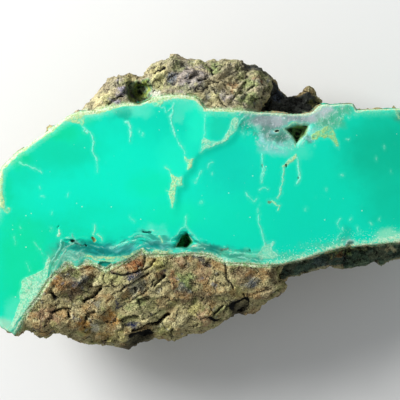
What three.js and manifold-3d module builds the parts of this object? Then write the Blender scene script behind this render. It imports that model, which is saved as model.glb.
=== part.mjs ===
// A piece of variscite vein in its host rock, lying on its back with the dressed green face up.
//
// Units are millimetres. +X runs along the vein, +Y across it towards the thin upper rock, +Z up out of the
// dressed face. The origin is the middle of the stone's box at the level patch that the stone rests on.
//
// The stone is one solid. A field that is negative inside the stone is put together from five bodies, each
// with an outline and a top, and from the pits and the old breaks that take material off them. A dual
// surface turns the field's zero level into one closed mesh, and a floor block cuts the resting patch flat.

import * as THREE from "three";
import { mergeVertices } from "three/addons/utils/BufferGeometryUtils.js";
import Module from "manifold-3d";

// Driving dimensions
const STONE_LENGTH = 115;
const STONE_WIDTH = 74.6;
const FACE_HEIGHT = 36; // the dressed face above the resting patch
const FACE_WAVE = 0.25; // the face isn't ground quite flat
const LEDGE_STEP = 1.2; // the left lobe of the face stands this much proud of the right one
const LEDGE_REACH = 15; // and the step has run out again over this distance
const UPPER_SEAM_DROP = 1; // each rock starts this far below the face
const LOWER_SEAM_DROP = 0.5;
const STRIP_DROP = 6;
const SHADED_ROCK_DROP = 12.5;
const TERRACE_STEP = 0.9; // height of the slanting ledges on the lower rock
const WALL_LUMP = 1.3; // how far the broken walls are hollowed between their lumps
const WALL_DRAW = 2.4; // how far the walls have drawn in at the resting patch
const BREAK_LUMP = 1.2;
const REST_HALF = [27, 15]; // half sizes of the oval that the stone lies on
const REST_MIDDLE = [-5, -2];
const REST_DISH = 1.2; // the uncut underside would reach this far below the resting patch
const UNDER_RISE = 9; // how steeply the underside rises around the oval
const UNDER_LUMP = 2.2;
const WALL_ROUNDING = 1; // how far two surfaces are rounded into each other where they meet
const BREAK_ROUNDING = 3;
const UNDER_ROUNDING = 4;
const MOUTH_ROUNDING = 0.8;
const CELL = 2.2; // spacing of the sampling grid along X and Y
const LEVELS = [ // and its levels along Z, closer towards the face
  -6, -2.4, 1.4, 5.2, 9, 12.6, 16, 19.2, 22.2, 25, 27.6, 30, 32.2, 34.4, 36.6, 38.8,
];
const STONE_COLOUR = 0x1ccfa5;

// Outlines seen from above.
const VEIN_OUTLINE = [
  [-55.5, 2.9], [-55.3, 5.9], [-54.5, 8.7], [-52.5, 10.6], [-50.5, 12.6], [-48.5, 13.8], [-45.5, 16.1],
  [-42.5, 18.1], [-39.5, 20.5], [-37, 21.9], [-34.5, 22.7], [-30.5, 22.9], [-26.5, 23.9],
  [-23.5, 24.4], [-19.5, 25.2], [-17, 25.9], [-14.5, 26.4], [-11.5, 26.7], [-8.2, 26.7], [-5.5, 26.2],
  [-4, 24.7], [-2.8, 23.4], [1, 23.2], [5.5, 22.9], [10, 22.4], [14.2, 22.2], [18, 21.9], [21.2, 21.9],
  [23.5, 22.4], [25, 23.9], [26.5, 24.4], [31.8, 24.7], [34, 24.7], [34.8, 23.2], [45.5, 23.6],
  [49.2, 23.2], [53, 21.4], [55.5, 18.4], [57, 12.9], [57.5, 5.4], [56.5, -3.3], [54.5, -9.6],
  [50.5, -10.3], [45.5, -10.6], [40.8, -11.1], [35, -11.6], [31.2, -11.8], [27.5, -12.8], [24.5, -13.6],
  [21.2, -14.6], [18.5, -15.1], [16.2, -15.8], [10.8, -16.1], [7.2, -15.6], [2.2, -15.6], [0.5, -14.6],
  [-1.5, -13.6], [-4.2, -13.1], [-7, -13.1], [-10.8, -13.3], [-18, -13.3], [-19, -12.3], [-21.2, -13.8],
  [-23.5, -15.1], [-26, -15.8], [-28.2, -17.3], [-30.5, -15.1], [-32.8, -14.3], [-36.8, -12.3],
  [-39, -15.1], [-41, -17.8], [-43, -20.6], [-44.8, -23.8], [-46.8, -26.1], [-49, -30.3], [-50.8, -33.6],
  [-52.5, -32.8], [-54.5, -31.6], [-56, -28.3], [-57, -24.6], [-57.5, -20.8], [-57.5, -15], [-57, -9.6],
  [-56, -4.6], [-55.3, -0.8],
];
// The rocks' outlines run on under the vein, so that no gap opens between them lower down.
const UPPER_ROCK_OUTLINE = [
  [-38, 20.9], [-35.5, 22.4], [-33.5, 23.4], [-31.5, 25.7], [-29.5, 28.4], [-28.5, 30.2],
  [-26.5, 30.7], [-24.5, 31.9], [-22.5, 32.2], [-20.5, 30.9], [-18.5, 31.4], [-17.5, 32.9],
  [-15.5, 35.2], [-12.5, 36.9], [-10.5, 37.3], [-8.5, 36.2], [-4.5, 35.7], [-2.5, 35.2],
  [2, 36.7], [4.5, 36.4], [6, 35.9], [8.2, 34.9], [11, 33.4], [12.5, 31.7], [13, 29.4], [11.5, 26.4],
  [10, 22.9], [8, 12], [-30, 12],
];
const SHADED_ROCK_OUTLINE = [
  [9.2, 34.4], [11.2, 32.9], [12.8, 32.9], [14.2, 31.2], [15.8, 30.2], [17.5, 27.2], [21.5, 27.2],
  [23.5, 28.2], [25, 26.4], [26.5, 25.4], [26.8, 23.9], [26, 12], [6.8, 12], [6.8, 32.9],
];
const LOWER_ROCK_OUTLINE = [
  [16.2, -15.1], [15.2, -17.6], [15.2, -19.6], [16.5, -21.3], [16.5, -22.1], [14.5, -23.8],
  [12.5, -25.3], [10.5, -26.3], [8, -28.1], [4.5, -28.3], [2, -30.1], [-0.5, -31.3], [-3.5, -33.1],
  [-6.5, -33.8], [-8, -34.8], [-10.5, -35.1], [-13.5, -35.3], [-15.5, -34.3], [-17.5, -35.6],
  [-20.5, -36.6], [-22.5, -37.3], [-26.5, -36.6], [-32, -36.1], [-35.5, -34.6], [-39.5, -33.1],
  [-41.5, -33.1], [-43.5, -34.1], [-46.5, -32.6], [-48.5, -32.3], [-50.8, -33.6], [-54, -28],
  [-51, -18], [-44, -8], [-24, -4], [15.5, -4],
];
const STRIP_OUTLINE = [
  [13, -6], [15.8, -21.1], [18.2, -19.3], [22.2, -18.3], [24.5, -17.3], [27.5, -16.8],
  [32.8, -17.6], [34.5, -16.6], [38, -15.8], [45.5, -15.1], [49.2, -14.1], [53, -11.8], [54.8, -9.6],
  [52.5, -1], [30.5, -1],
];
// The step between the two lobes of the face, from its upper end. The low side is on its right.
const LEDGE_LINE = [
  [5, 18.4], [3, 15.7], [-1.8, 13.7], [-4.8, 12.2], [-6.2, 10.7], [-7, 8.2], [-8.8, 6.4], [-8.8, 3.9],
  [-10.2, 3.7], [-10.8, -1.1], [-11.2, -5.1],
];

// Round pits: the middle and the half sizes.
const PITS = [
  { at: [-19.8, 27.9, 34], half: [3.5, 3.2, 10] }, // the dark hollow in the upper rock
  { at: [59.5, 3, 20], half: [5, 9, 10] }, // shell-shaped chips out of the broken right end
  { at: [56.5, 23, 18], half: [6, 6, 12] },
];
// Sharp pits: an outline, which narrows with depth, and the height of the floor.
const VUG_TAPER = 0.25;
const VUGS = [
  { outline: [[16.6, 18.2], [19.8, 19.4], [23, 19.2], [22.2, 16.8], [19.6, 14.2], [18.4, 16.4]], floor: 30.6 },
  { outline: [[-9.2, -8.3], [-7.6, -7.6], [-5.8, -10.3], [-7.6, -11.8], [-11, -11.6]], floor: 31.6 },
  { outline: [[2.4, -31.5], [3.6, -26.4], [6.6, -24.4], [8.4, -25], [7.9, -27], [6, -31]], floor: 14 },
  { outline: [[-25.6, -39], [-24, -35.8], [-20.8, -33.9], [-18, -33.3], [-15.6, -34.6], [-14, -39]], floor: 12 },
];
// Old breaks: flat cuts across the lower edges, each through a point and facing outwards.
const BREAKS = [
  { at: [-57.5, -5, 17], facing: [-0.74, 0.1, -0.66] },
  { at: [-46, 17, 23], facing: [-0.42, 0.62, -0.66] },
  { at: [-8, 37, 21], facing: [-0.1, 0.66, -0.74] },
  { at: [24, 27, 16], facing: [0.25, 0.7, -0.66] },
  { at: [57.5, 4, 15], facing: [0.8, 0.12, -0.58] },
  { at: [40, -16, 19], facing: [0.32, -0.66, -0.68] },
  { at: [4, -30, 17], facing: [0.3, -0.72, -0.62] },
  { at: [-26, -37, 21], facing: [-0.16, -0.68, -0.71] },
  { at: [-53, -30, 22], facing: [-0.6, -0.48, -0.64] },
];

// 0 at from, 1 at to and smooth between them, whichever is the larger.
function smoothStep(from, to, x) {
  const t = Math.min(Math.max((x - from) / (to - from), 0), 1);
  return t * t * (3 - 2 * t);
}

// The larger of two distances, with the corner between them rounded off over k.
function smoothMax(a, b, k) {
  const h = Math.max(k - Math.abs(a - b), 0) / k;
  return Math.max(a, b) + (h * h * k) / 4;
}

// Distance from a point to the stretch from a to b.
function stretchDistance(ax, ay, bx, by, x, y) {
  const ex = bx - ax;
  const ey = by - ay;
  const t = Math.min(Math.max(((x - ax) * ex + (y - ay) * ey) / (ex * ex + ey * ey), 0), 1);
  return Math.hypot(x - ax - t * ex, y - ay - t * ey);
}

// Distance to a line of points, positive on the left of the way it runs.
function lineDistance(line, x, y) {
  let nearest = Infinity;
  let side = 1;
  for (let i = 0; i + 1 < line.length; i++) {
    const [ax, ay] = line[i];
    const [bx, by] = line[i + 1];
    const d = stretchDistance(ax, ay, bx, by, x, y);
    if (d < nearest) {
      nearest = d;
      side = (bx - ax) * (y - ay) - (by - ay) * (x - ax) < 0 ? -1 : 1;
    }
  }
  return side * nearest;
}

// Distance to a closed outline, negative inside it.
function outlineDistance(outline, x, y) {
  let inside = false;
  let nearest = Infinity;
  for (let i = 0, j = outline.length - 1; i < outline.length; j = i++) {
    const ax = outline[i][0];
    const ay = outline[i][1];
    const bx = outline[j][0];
    const by = outline[j][1];
    if (ay > y !== by > y && x < ((bx - ax) * (y - ay)) / (by - ay) + ax) inside = !inside;
    nearest = Math.min(nearest, stretchDistance(ax, ay, bx, by, x, y));
  }
  return inside ? -nearest : nearest;
}

// Lumps of broken rock about 10 mm apart, from -1 in the hollows to 1 on the crests.
function lumps(x, y, z) {
  const u = x + 1.8 * Math.sin(0.23 * y + 0.19 * z);
  const v = y + 1.8 * Math.sin(0.27 * x - 0.21 * z + 1);
  const w = z + 1.8 * Math.sin(0.25 * x + 0.17 * y + 2);
  const large = Math.sin(0.52 * u + 0.31 * v) + Math.sin(0.55 * v - 0.38 * w + 1.3) + Math.sin(0.5 * w - 0.29 * u);
  const small = Math.sin(1.1 * u - 0.7 * v + 0.4) * Math.sin(0.9 * v + 0.8 * w);
  return THREE.MathUtils.clamp(0.36 * large + 0.3 * small, -1, 1);
}

// Ledges that run up to the right across the lower rock: a slow rise, then a sharp drop.
function terrace(x, y) {
  const across = 0.1 * (0.5 * x - 0.87 * y) + 0.25 * Math.sin(0.16 * x + 0.1 * y);
  const phase = across - Math.floor(across);
  return smoothStep(0, 0.8, phase) - smoothStep(0.8, 1, phase);
}

function faceTop(x, y) {
  const low = lineDistance(LEDGE_LINE, x, y);
  const along = smoothStep(-6, 4, y) * (1 - smoothStep(18, 22, y));
  const step = smoothStep(-0.5, 0.5, low) * (1 - smoothStep(0, LEDGE_REACH, low)) * along;
  return FACE_HEIGHT - LEDGE_STEP * step + FACE_WAVE * Math.sin(0.11 * x + 0.6) * Math.cos(0.13 * y);
}

// Each body of the stone: its outline, how its top and edge are rounded together, and its top. A top is
// given the distance outside the vein and the distance inside the body's own edge.
const BODIES = [
  { outline: VEIN_OUTLINE, rounding: 0.8, top: faceTop },
  {
    outline: UPPER_ROCK_OUTLINE,
    rounding: 3,
    top: (x, y, fromVein, inEdge) =>
      FACE_HEIGHT - UPPER_SEAM_DROP - 0.42 * fromVein - 2.6 * (1 - smoothStep(0, 4, inEdge)) +
      1.5 * lumps(1.3 * x, 1.3 * y, 0) * smoothStep(0, 3, fromVein),
  },
  {
    outline: SHADED_ROCK_OUTLINE,
    rounding: 3,
    top: (x, y, fromVein) => FACE_HEIGHT - SHADED_ROCK_DROP - 0.3 * fromVein + 1.8 * lumps(1.4 * x, 1.4 * y, 9),
  },
  {
    outline: LOWER_ROCK_OUTLINE,
    rounding: 2,
    top: (x, y, fromVein, inEdge) =>
      FACE_HEIGHT - LOWER_SEAM_DROP - 0.1 * fromVein - 0.012 * fromVein ** 2 -
      3 * (1 - smoothStep(0, 3.5, inEdge)) +
      (0.9 * lumps(x, y, 4) + TERRACE_STEP * terrace(x, y)) * smoothStep(0, 4, fromVein),
  },
  {
    outline: STRIP_OUTLINE,
    rounding: 2.5,
    top: (x, y, fromVein) => FACE_HEIGHT - STRIP_DROP - 0.7 * fromVein + 0.8 * lumps(1.5 * x, 1.5 * y, 2),
  },
];

// How far a wall stands inside its outline: nothing at the top, where the outline is widest, and more below.
function wallInset(x, y, z) {
  const below = smoothStep(FACE_HEIGHT - 5, FACE_HEIGHT - 14, z);
  const hollow = 0.5 - 0.5 * lumps(x, y, z);
  return below * WALL_LUMP * hollow + WALL_DRAW * smoothStep(FACE_HEIGHT - 8, 0, z);
}

function underside(x, y) {
  const reach = Math.hypot((x - REST_MIDDLE[0]) / REST_HALF[0], (y - REST_MIDDLE[1]) / REST_HALF[1]);
  const outside = Math.max(reach - 0.8, 0);
  return UNDER_RISE * outside ** 1.5 + UNDER_LUMP * lumps(x, y, 30) * Math.min(outside, 1) - REST_DISH;
}

function pitDistance({ at, half }, x, y, z) {
  const reach = Math.hypot((x - at[0]) / half[0], (y - at[1]) / half[1], (z - at[2]) / half[2]);
  return (1 - reach) * Math.min(...half);
}

function stoneField(x, y, z) {
  const edges = BODIES.map((body) => outlineDistance(body.outline, x, y));
  const fromVein = Math.max(edges[0], 0);
  let field = Infinity;
  BODIES.forEach(({ rounding, top }, i) => {
    field = Math.min(field, smoothMax(z - top(x, y, fromVein, -edges[i]), edges[i], rounding));
  });
  field = smoothMax(field, Math.min(...edges) + wallInset(x, y, z), WALL_ROUNDING);
  for (const { at, facing } of BREAKS) {
    const beyond = facing[0] * (x - at[0]) + facing[1] * (y - at[1]) + facing[2] * (z - at[2]);
    field = smoothMax(field, beyond - BREAK_LUMP * lumps(x, y, z), BREAK_ROUNDING);
  }
  field = smoothMax(field, underside(x, y) - z, UNDER_ROUNDING);
  for (const pit of PITS) field = smoothMax(field, pitDistance(pit, x, y, z), MOUTH_ROUNDING);
  for (const { outline, floor } of VUGS) {
    const inVug = -outlineDistance(outline, x, y) - VUG_TAPER * Math.max(FACE_HEIGHT - z, 0);
    field = smoothMax(field, Math.min(inVug, z - floor), MOUTH_ROUNDING);
  }
  return field;
}

// Grid lines from just below low to just above high.
function gridLines(low, high, spacing) {
  const count = Math.ceil((high - low) / spacing) + 3;
  const start = (low + high - (count - 1) * spacing) / 2;
  return Array.from({ length: count }, (_, i) => start + i * spacing);
}

// Where the inside corners of a grid square lie across from each other, the surface would use one edge twice.
// Such a square gets one more corner inside.
function closeDiagonals(value, size, index) {
  const steps = [index(1, 0, 0), index(0, 1, 0), index(0, 0, 1)];
  const last = index(size[0] - 2, size[1] - 2, size[2] - 2);
  let changed = true;
  while (changed) {
    changed = false;
    for (let at = 0; at < last; at++) {
      for (const [u, v] of [[0, 1], [1, 2], [2, 0]]) {
        const square = [at, at + steps[u], at + steps[u] + steps[v], at + steps[v]];
        const [a, b, c, d] = square.map((n) => value[n] < 0);
        if (a !== c || b !== d || a === b) continue;
        const outside = square.filter((n) => value[n] >= 0);
        const nearest = value[outside[0]] < value[outside[1]] ? outside[0] : outside[1];
        value[nearest] = -Math.max(value[nearest], 0.01);
        changed = true;
      }
    }
  }
}

// The field's slope, as a unit vector that points out of the stone.
function outward(field, { x, y, z }) {
  const h = 0.05;
  return new THREE.Vector3(
    field(x + h, y, z) - field(x - h, y, z),
    field(x, y + h, z) - field(x, y - h, z),
    field(x, y, z + h) - field(x, y, z - h),
  ).normalize();
}

// The point of one cell: it starts at the middle of the crossings and is drawn to where the flat faces
// through them meet, so that it lands on a corner or an edge where the cell holds one.
function cellPoint(crossings, low, high) {
  const point = new THREE.Vector3();
  crossings.forEach(({ at }) => point.addScaledVector(at, 1 / crossings.length));
  for (let pass = 0; pass < 24; pass++) {
    const pull = new THREE.Vector3();
    for (const { at, normal } of crossings) {
      pull.addScaledVector(normal, normal.dot(new THREE.Vector3().subVectors(at, point)));
    }
    point.addScaledVector(pull, 1.2 / crossings.length);
  }
  return point.clamp(low, high);
}

// Dual surface: one point in each grid cell that the zero level passes through, and a quad round each grid
// edge that it crosses.
function dualSurface(field, xs, ys, zs) {
  const lines = [xs, ys, zs];
  const size = lines.map((line) => line.length);
  const index = (i, j, k) => (k * size[1] + j) * size[0] + i;
  const value = new Float64Array(size[0] * size[1] * size[2]);
  zs.forEach((z, k) => ys.forEach((y, j) => xs.forEach((x, i) => { value[index(i, j, k)] = field(x, y, z); })));
  closeDiagonals(value, size, index);

  const known = new Map();
  const crossingAt = (cell, axis) => {
    const key = index(...cell) * 3 + axis;
    if (!known.has(key)) {
      const from = value[index(...cell)];
      const next = cell.map((n, other) => n + (other === axis));
      const low = new THREE.Vector3(...cell.map((n, other) => lines[other][n]));
      const high = new THREE.Vector3(...next.map((n, other) => lines[other][n]));
      const at = low.lerp(high, from / (from - value[index(...next)]));
      known.set(key, { at, normal: outward(field, at) });
    }
    return known.get(key);
  };

  const pointOf = new Map();
  const points = [];
  for (let k = 0; k + 1 < size[2]; k++) {
    for (let j = 0; j + 1 < size[1]; j++) {
      for (let i = 0; i + 1 < size[0]; i++) {
        const crossings = [];
        for (let axis = 0; axis < 3; axis++) {
          for (let n = 0; n < 4; n++) {
            const offset = [n & 1, n >> 1];
            offset.splice(axis, 0, 0);
            const cell = [i + offset[0], j + offset[1], k + offset[2]];
            const next = cell.map((m, other) => m + (other === axis));
            if (value[index(...cell)] < 0 !== value[index(...next)] < 0) crossings.push(crossingAt(cell, axis));
          }
        }
        if (!crossings.length) continue;
        const low = new THREE.Vector3(xs[i], ys[j], zs[k]);
        const high = new THREE.Vector3(xs[i + 1], ys[j + 1], zs[k + 1]);
        pointOf.set(index(i, j, k), points.length);
        points.push(cellPoint(crossings, low, high));
      }
    }
  }

  const triangles = [];
  const quad = (a, b, c, d, flip) => {
    const [p, q, r, s] = flip ? [a, d, c, b] : [a, b, c, d];
    if (points[p].distanceTo(points[r]) <= points[q].distanceTo(points[s])) triangles.push(p, q, r, p, r, s);
    else triangles.push(p, q, s, q, r, s);
  };
  const around = [[[0, -1, -1], [0, 0, -1], [0, 0, 0], [0, -1, 0]], [[-1, 0, -1], [-1, 0, 0], [0, 0, 0], [0, 0, -1]],
    [[-1, -1, 0], [0, -1, 0], [0, 0, 0], [-1, 0, 0]]];
  for (let k = 1; k + 1 < size[2]; k++) {
    for (let j = 1; j + 1 < size[1]; j++) {
      for (let i = 1; i + 1 < size[0]; i++) {
        around.forEach((cells, axis) => {
          const here = value[index(i, j, k)] < 0;
          const next = value[index(i + (axis === 0), j + (axis === 1), k + (axis === 2))] < 0;
          if (here === next) return;
          quad(...cells.map(([a, b, c]) => pointOf.get(index(i + a, j + b, k + c))), !here);
        });
      }
    }
  }
  return { points, triangles };
}

function meshGeometry({ points, triangles }) {
  const geometry = new THREE.BufferGeometry().setFromPoints(points);
  geometry.setIndex(triangles);
  return geometry;
}

function solid(wasm, geometry) {
  geometry.deleteAttribute("normal");
  geometry.deleteAttribute("uv");
  const merged = mergeVertices(geometry);
  return new wasm.Manifold(new wasm.Mesh({
    numProp: 3,
    vertProperties: new Float32Array(merged.attributes.position.array),
    triVerts: new Uint32Array(merged.index.array),
  }));
}

// Cuts everything below the resting patch off with one block.
function cutFlat(wasm, geometry) {
  const clear = 0.35; // no corner stays so near the cut that it would leave a sliver
  const position = geometry.attributes.position;
  for (let i = 0; i < position.count; i++) {
    if (Math.abs(position.getZ(i)) < clear) position.setZ(i, -clear);
  }
  const floorBlock = new THREE.BoxGeometry(200, 200, 20).translate(0, 0, -10);
  const cut = solid(wasm, geometry).subtract(solid(wasm, floorBlock)).getMesh();
  const result = new THREE.BufferGeometry();
  result.setAttribute("position", new THREE.BufferAttribute(new Float32Array(cut.vertProperties), cut.numProp));
  result.setIndex(new THREE.BufferAttribute(new Uint32Array(cut.triVerts), 1));
  return result;
}

// Brings the stone to its exact length and width, with its middle over the origin.
function fitToSize(geometry) {
  geometry.computeBoundingBox();
  const size = geometry.boundingBox.getSize(new THREE.Vector3());
  const middle = geometry.boundingBox.getCenter(new THREE.Vector3());
  return geometry.translate(-middle.x, -middle.y, 0).scale(STONE_LENGTH / size.x, STONE_WIDTH / size.y, 1);
}

const wasm = await Module();
wasm.setup();

const everyPoint = BODIES.flatMap((body) => body.outline);
const xs = gridLines(Math.min(...everyPoint.map((p) => p[0])), Math.max(...everyPoint.map((p) => p[0])), CELL);
const ys = gridLines(Math.min(...everyPoint.map((p) => p[1])), Math.max(...everyPoint.map((p) => p[1])), CELL);
const surface = dualSurface(stoneField, xs, ys, LEVELS);

const stone = new THREE.Mesh(
  fitToSize(cutFlat(wasm, meshGeometry(surface))),
  new THREE.MeshStandardMaterial({ color: STONE_COLOUR, roughness: 0.5, metalness: 0 }),
);
stone.name = "variscite_stone";

const part = new THREE.Group();
part.add(stone);

export default part;
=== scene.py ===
import bpy
import numpy as np
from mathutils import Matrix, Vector, noise


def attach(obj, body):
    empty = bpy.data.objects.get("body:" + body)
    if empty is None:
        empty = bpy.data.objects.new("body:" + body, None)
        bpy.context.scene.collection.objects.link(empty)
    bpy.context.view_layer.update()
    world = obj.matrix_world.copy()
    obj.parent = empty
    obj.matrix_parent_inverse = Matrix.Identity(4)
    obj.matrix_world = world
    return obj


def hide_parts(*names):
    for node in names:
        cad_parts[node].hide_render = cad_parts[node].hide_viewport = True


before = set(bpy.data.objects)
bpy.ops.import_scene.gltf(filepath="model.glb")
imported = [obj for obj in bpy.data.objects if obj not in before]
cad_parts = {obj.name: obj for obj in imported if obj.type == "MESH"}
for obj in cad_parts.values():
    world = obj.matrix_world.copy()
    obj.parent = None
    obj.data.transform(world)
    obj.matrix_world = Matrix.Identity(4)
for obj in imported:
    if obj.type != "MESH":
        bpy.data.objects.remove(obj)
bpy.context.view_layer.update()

mm = 0.001
faceHeight = 36.0  # the dressed face above the resting patch

# Colours as a monitor shows them, 0 to 255.
brightTurquoise = (0, 220, 184)
hotMint = (24, 228, 188)
baseTurquoise = (0, 205, 172)
edgeGreen = (0, 198, 156)
lowGreen = (2, 205, 148)
ledgeGreen = (0, 192, 166)
lobeGreen = (20, 198, 162)
rightTurquoise = (0, 210, 172)
endGreen = (0, 176, 140)
dullTeal = (20, 166, 138)
seamTeal = (10, 128, 122)
bandTeal = (12, 138, 138)
deepTeal = (6, 108, 96)
channelTeal = (60, 138, 112)
mintWhite = (150, 232, 206)
paleMint = (104, 222, 190)
whiteMint = (184, 230, 204)
greyMint = (140, 190, 166)
greyTeal = (88, 150, 138)
blueWhite = (146, 200, 202)
ivory = (212, 222, 190)
mintCream = (170, 218, 182)
creamGreen = (184, 206, 146)
yellowCream = (176, 220, 164)
pinkCream = (214, 204, 176)
white = (212, 222, 220)
whiteLilac = (172, 182, 184)
lilacGrey = (122, 138, 138)
oliveGrey = (62, 118, 100)
glassGreen = (66, 172, 134)
stainOlive = (70, 92, 58)
seamBrown = (74, 66, 40)
sage = (98, 168, 134)
seamMint = (92, 190, 152)
clawGreen = (158, 200, 126)
coreGreen = (0, 216, 162)
stepShade = (0, 178, 144)
wallDeep = (6, 122, 98)
wallLight = (20, 190, 152)
pitShadeBlack = (8, 22, 18)
crackAndShadeBlack = (16, 16, 12)
rockBase = (134, 126, 92)
upperBase = (136, 130, 108)
creamRock = (192, 184, 142)
whiteRock = (192, 194, 182)
oliveBrown = (92, 84, 44)
orangeBrown = (118, 84, 46)
orangeRock = (150, 108, 78)
ochre = (152, 114, 64)
rust = (116, 68, 44)
redBrown = (128, 98, 78)
darkBrown = (78, 62, 46)
shadeBrown = (56, 54, 38)
greyBrown = (124, 106, 86)
greenOlive = (112, 126, 80)
yellowOlive = (142, 138, 82)
slateBlue = (74, 84, 98)
lilacRock = (124, 120, 140)
navy = (20, 30, 60)
shadowRock = (34, 38, 40)
stripTealAndShade = (20, 56, 50)
stripGreen = (72, 88, 70)
recessShade = (22, 22, 20)
litHollowGreen = (168, 182, 84)
mossGreen = (128, 170, 104)
vugGreen = (30, 140, 70)
crumbGreen = (134, 182, 118)
rimGreen = (0, 192, 132)
crumbOlive = (104, 124, 66)
mottleBrown = (124, 90, 54)
mottleOlive = (118, 126, 76)
mottleBlue = (104, 112, 126)
skinCream = (188, 180, 138)
skinBrown = (146, 126, 90)


def linear(colour):
    c = np.array(colour) / 255
    return np.where(c <= 0.04045, c / 12.92, ((c + 0.055) / 1.055) ** 2.4)


def blend(under, colour, weight):
    return under * (1 - weight[:, None]) + linear(colour) * weight[:, None]


def smoothStep(low, high, x):
    t = np.clip((x - low) / (high - low), 0, 1)
    return t * t * (3 - 2 * t)


def smoothMax(a, b, k):
    h = np.maximum(k - np.abs(a - b), 0) / k
    return np.maximum(a, b) + h * h * k / 4


def stretchDistance(a, b, x, y):
    ex, ey = b[0] - a[0], b[1] - a[1]
    t = np.clip(((x - a[0]) * ex + (y - a[1]) * ey) / (ex * ex + ey * ey), 0, 1)
    return np.hypot(x - a[0] - t * ex, y - a[1] - t * ey)


# Distance to a line of points, positive on the left of the way it runs where signed.
def lineDistance(line, x, y, signed=False):
    nearest, side = np.full(x.shape, np.inf), np.ones(x.shape)
    for a, b in zip(line, line[1:]):
        d = stretchDistance(a, b, x, y)
        if signed:
            left = (b[0] - a[0]) * (y - a[1]) - (b[1] - a[1]) * (x - a[0])
            side = np.where(d < nearest, np.where(left < 0, -1, 1), side)
        nearest = np.minimum(nearest, d)
    return side * nearest


# Distance to a closed outline, negative inside it.
def outlineDistance(outline, x, y):
    nearest, inside = np.full(x.shape, np.inf), np.zeros(x.shape, bool)
    for a, b in zip(outline, outline[1:] + outline[:1]):
        nearest = np.minimum(nearest, stretchDistance(a, b, x, y))
        if a[1] != b[1]:
            crosses = (a[1] > y) != (b[1] > y)
            inside ^= crosses & (x < (b[0] - a[0]) * (y - a[1]) / (b[1] - a[1]) + a[0])
    return np.where(inside, -nearest, nearest)


# The stone's shape, in millimetres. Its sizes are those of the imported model.
stone = {
    "faceWave": 0.25,
    "ledgeStep": 0.3,  # the left lobe of the face stands this much proud of the right one
    "ledgeReach": 15.0,
    "terraceStep": 0.9,  # ledges across the lower rock
    "wallLump": 1.3,
    "wallDraw": 2.4,  # how far the walls draw in towards the foot
    "breakLump": 1.2,
    "restHalf": (27, 15),  # the patch it rests on
    "restMiddle": (-5, -2),
    "faceEdge": 0.55,  # length of the mesh's edges on the face
    "markEdge": 0.21,  # and beside its marks
    "markSide": 0.35,  # as far as this from a mark's edge
    "rockEdge": 0.36,
    "wallEdges": (0.48, 1.3),  # at the top of the walls and low down
    "splits": 9,  # rounds of splitting at most
    "chipDepth": 0.55,  # how far the relief of the rocks reaches
    "grainDepth": 0.16,
    "seed": 7,
}
# Outlines of its bodies seen from above, and the step between the two lobes of the face.
veinOutline = [
    (-55.5, 2.9), (-55.3, 5.9), (-54.5, 8.7), (-52.5, 10.6), (-50.5, 12.6), (-48.5, 13.8), (-45.5, 16.1),
    (-42.5, 18.1), (-39.5, 20.5), (-37, 21.9), (-34.5, 22.7), (-30.5, 22.9), (-26.5, 23.9), (-23.5, 24.4),
    (-19.5, 25.2), (-17, 25.9), (-14.5, 26.4), (-11.5, 26.7), (-8.2, 26.7), (-5.5, 26.2), (-4, 24.7),
    (-2.8, 23.4), (1, 23.2), (5.5, 22.9), (10, 22.4), (14.2, 22.2), (18, 21.9), (21.2, 21.9), (23.5, 22.4),
    (25, 23.9), (26.5, 24.4), (31.8, 24.7), (34, 24.7), (34.8, 23.2), (45.5, 23.6), (49.2, 23.2),
    (53, 21.4), (55.5, 18.4), (57, 12.9), (57.5, 5.4), (56.5, -3.3), (54.5, -9.6), (50.5, -9.9),
    (45.5, -10.2), (40.8, -10.7), (35, -11.2), (31.2, -11.5), (27.5, -12.5), (24.5, -13.4), (21.2, -14.6),
    (18.5, -15.1), (16.2, -15.8), (10.8, -16.1), (7.2, -15.6), (2.2, -15.6), (0.5, -14.6), (-1.5, -13.6),
    (-4.2, -13.1), (-7, -13.1), (-10.8, -13.3), (-18, -13.3), (-19, -12.3), (-21.2, -13.8), (-23.5, -15.1),
    (-26, -15.8), (-28.2, -17.3), (-30.5, -15.9), (-32.8, -15), (-35.2, -16.4), (-37.8, -15.4),
    (-39.4, -17), (-41, -18.2), (-43, -20.6), (-44.8, -23.8), (-46.8, -26.1), (-49, -30.3), (-50.8, -33.6),
    (-52.5, -32.8), (-54.5, -31.6), (-56, -28.3), (-57, -24.6), (-57.5, -20.8), (-57.5, -15), (-57, -9.6),
    (-56, -4.6), (-55.3, -0.8),
]
upperRockOutline = [
    (-38, 20.9), (-35.5, 22.4), (-33.5, 23.4), (-31.5, 25.7), (-29.5, 28.4), (-28.5, 30.2), (-26.5, 30.7),
    (-24.5, 31.9), (-22.5, 32.2), (-20.5, 30.9), (-18.5, 31.4), (-17.5, 32.9), (-15.5, 35.2),
    (-12.5, 36.9), (-10.5, 37.3), (-8.5, 36.2), (-4.5, 35.7), (-2.5, 35.2), (2, 36.7), (4.5, 36.4),
    (6, 35.9), (8.2, 34.9), (11, 33.4), (12.5, 31.7), (13, 29.4), (11.5, 26.4), (10, 22.9), (8, 12),
    (-30, 12),
]
shadedRockOutline = [
    (9.2, 34.4), (11.2, 32.9), (12.8, 32.9), (14.2, 31.2), (15.8, 30.2), (17.5, 27.2), (21.5, 27.2),
    (23.5, 28.2), (25, 26.4), (26.5, 25.4), (26.8, 23.9), (26, 12), (6.8, 12), (6.8, 32.9),
]
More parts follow.
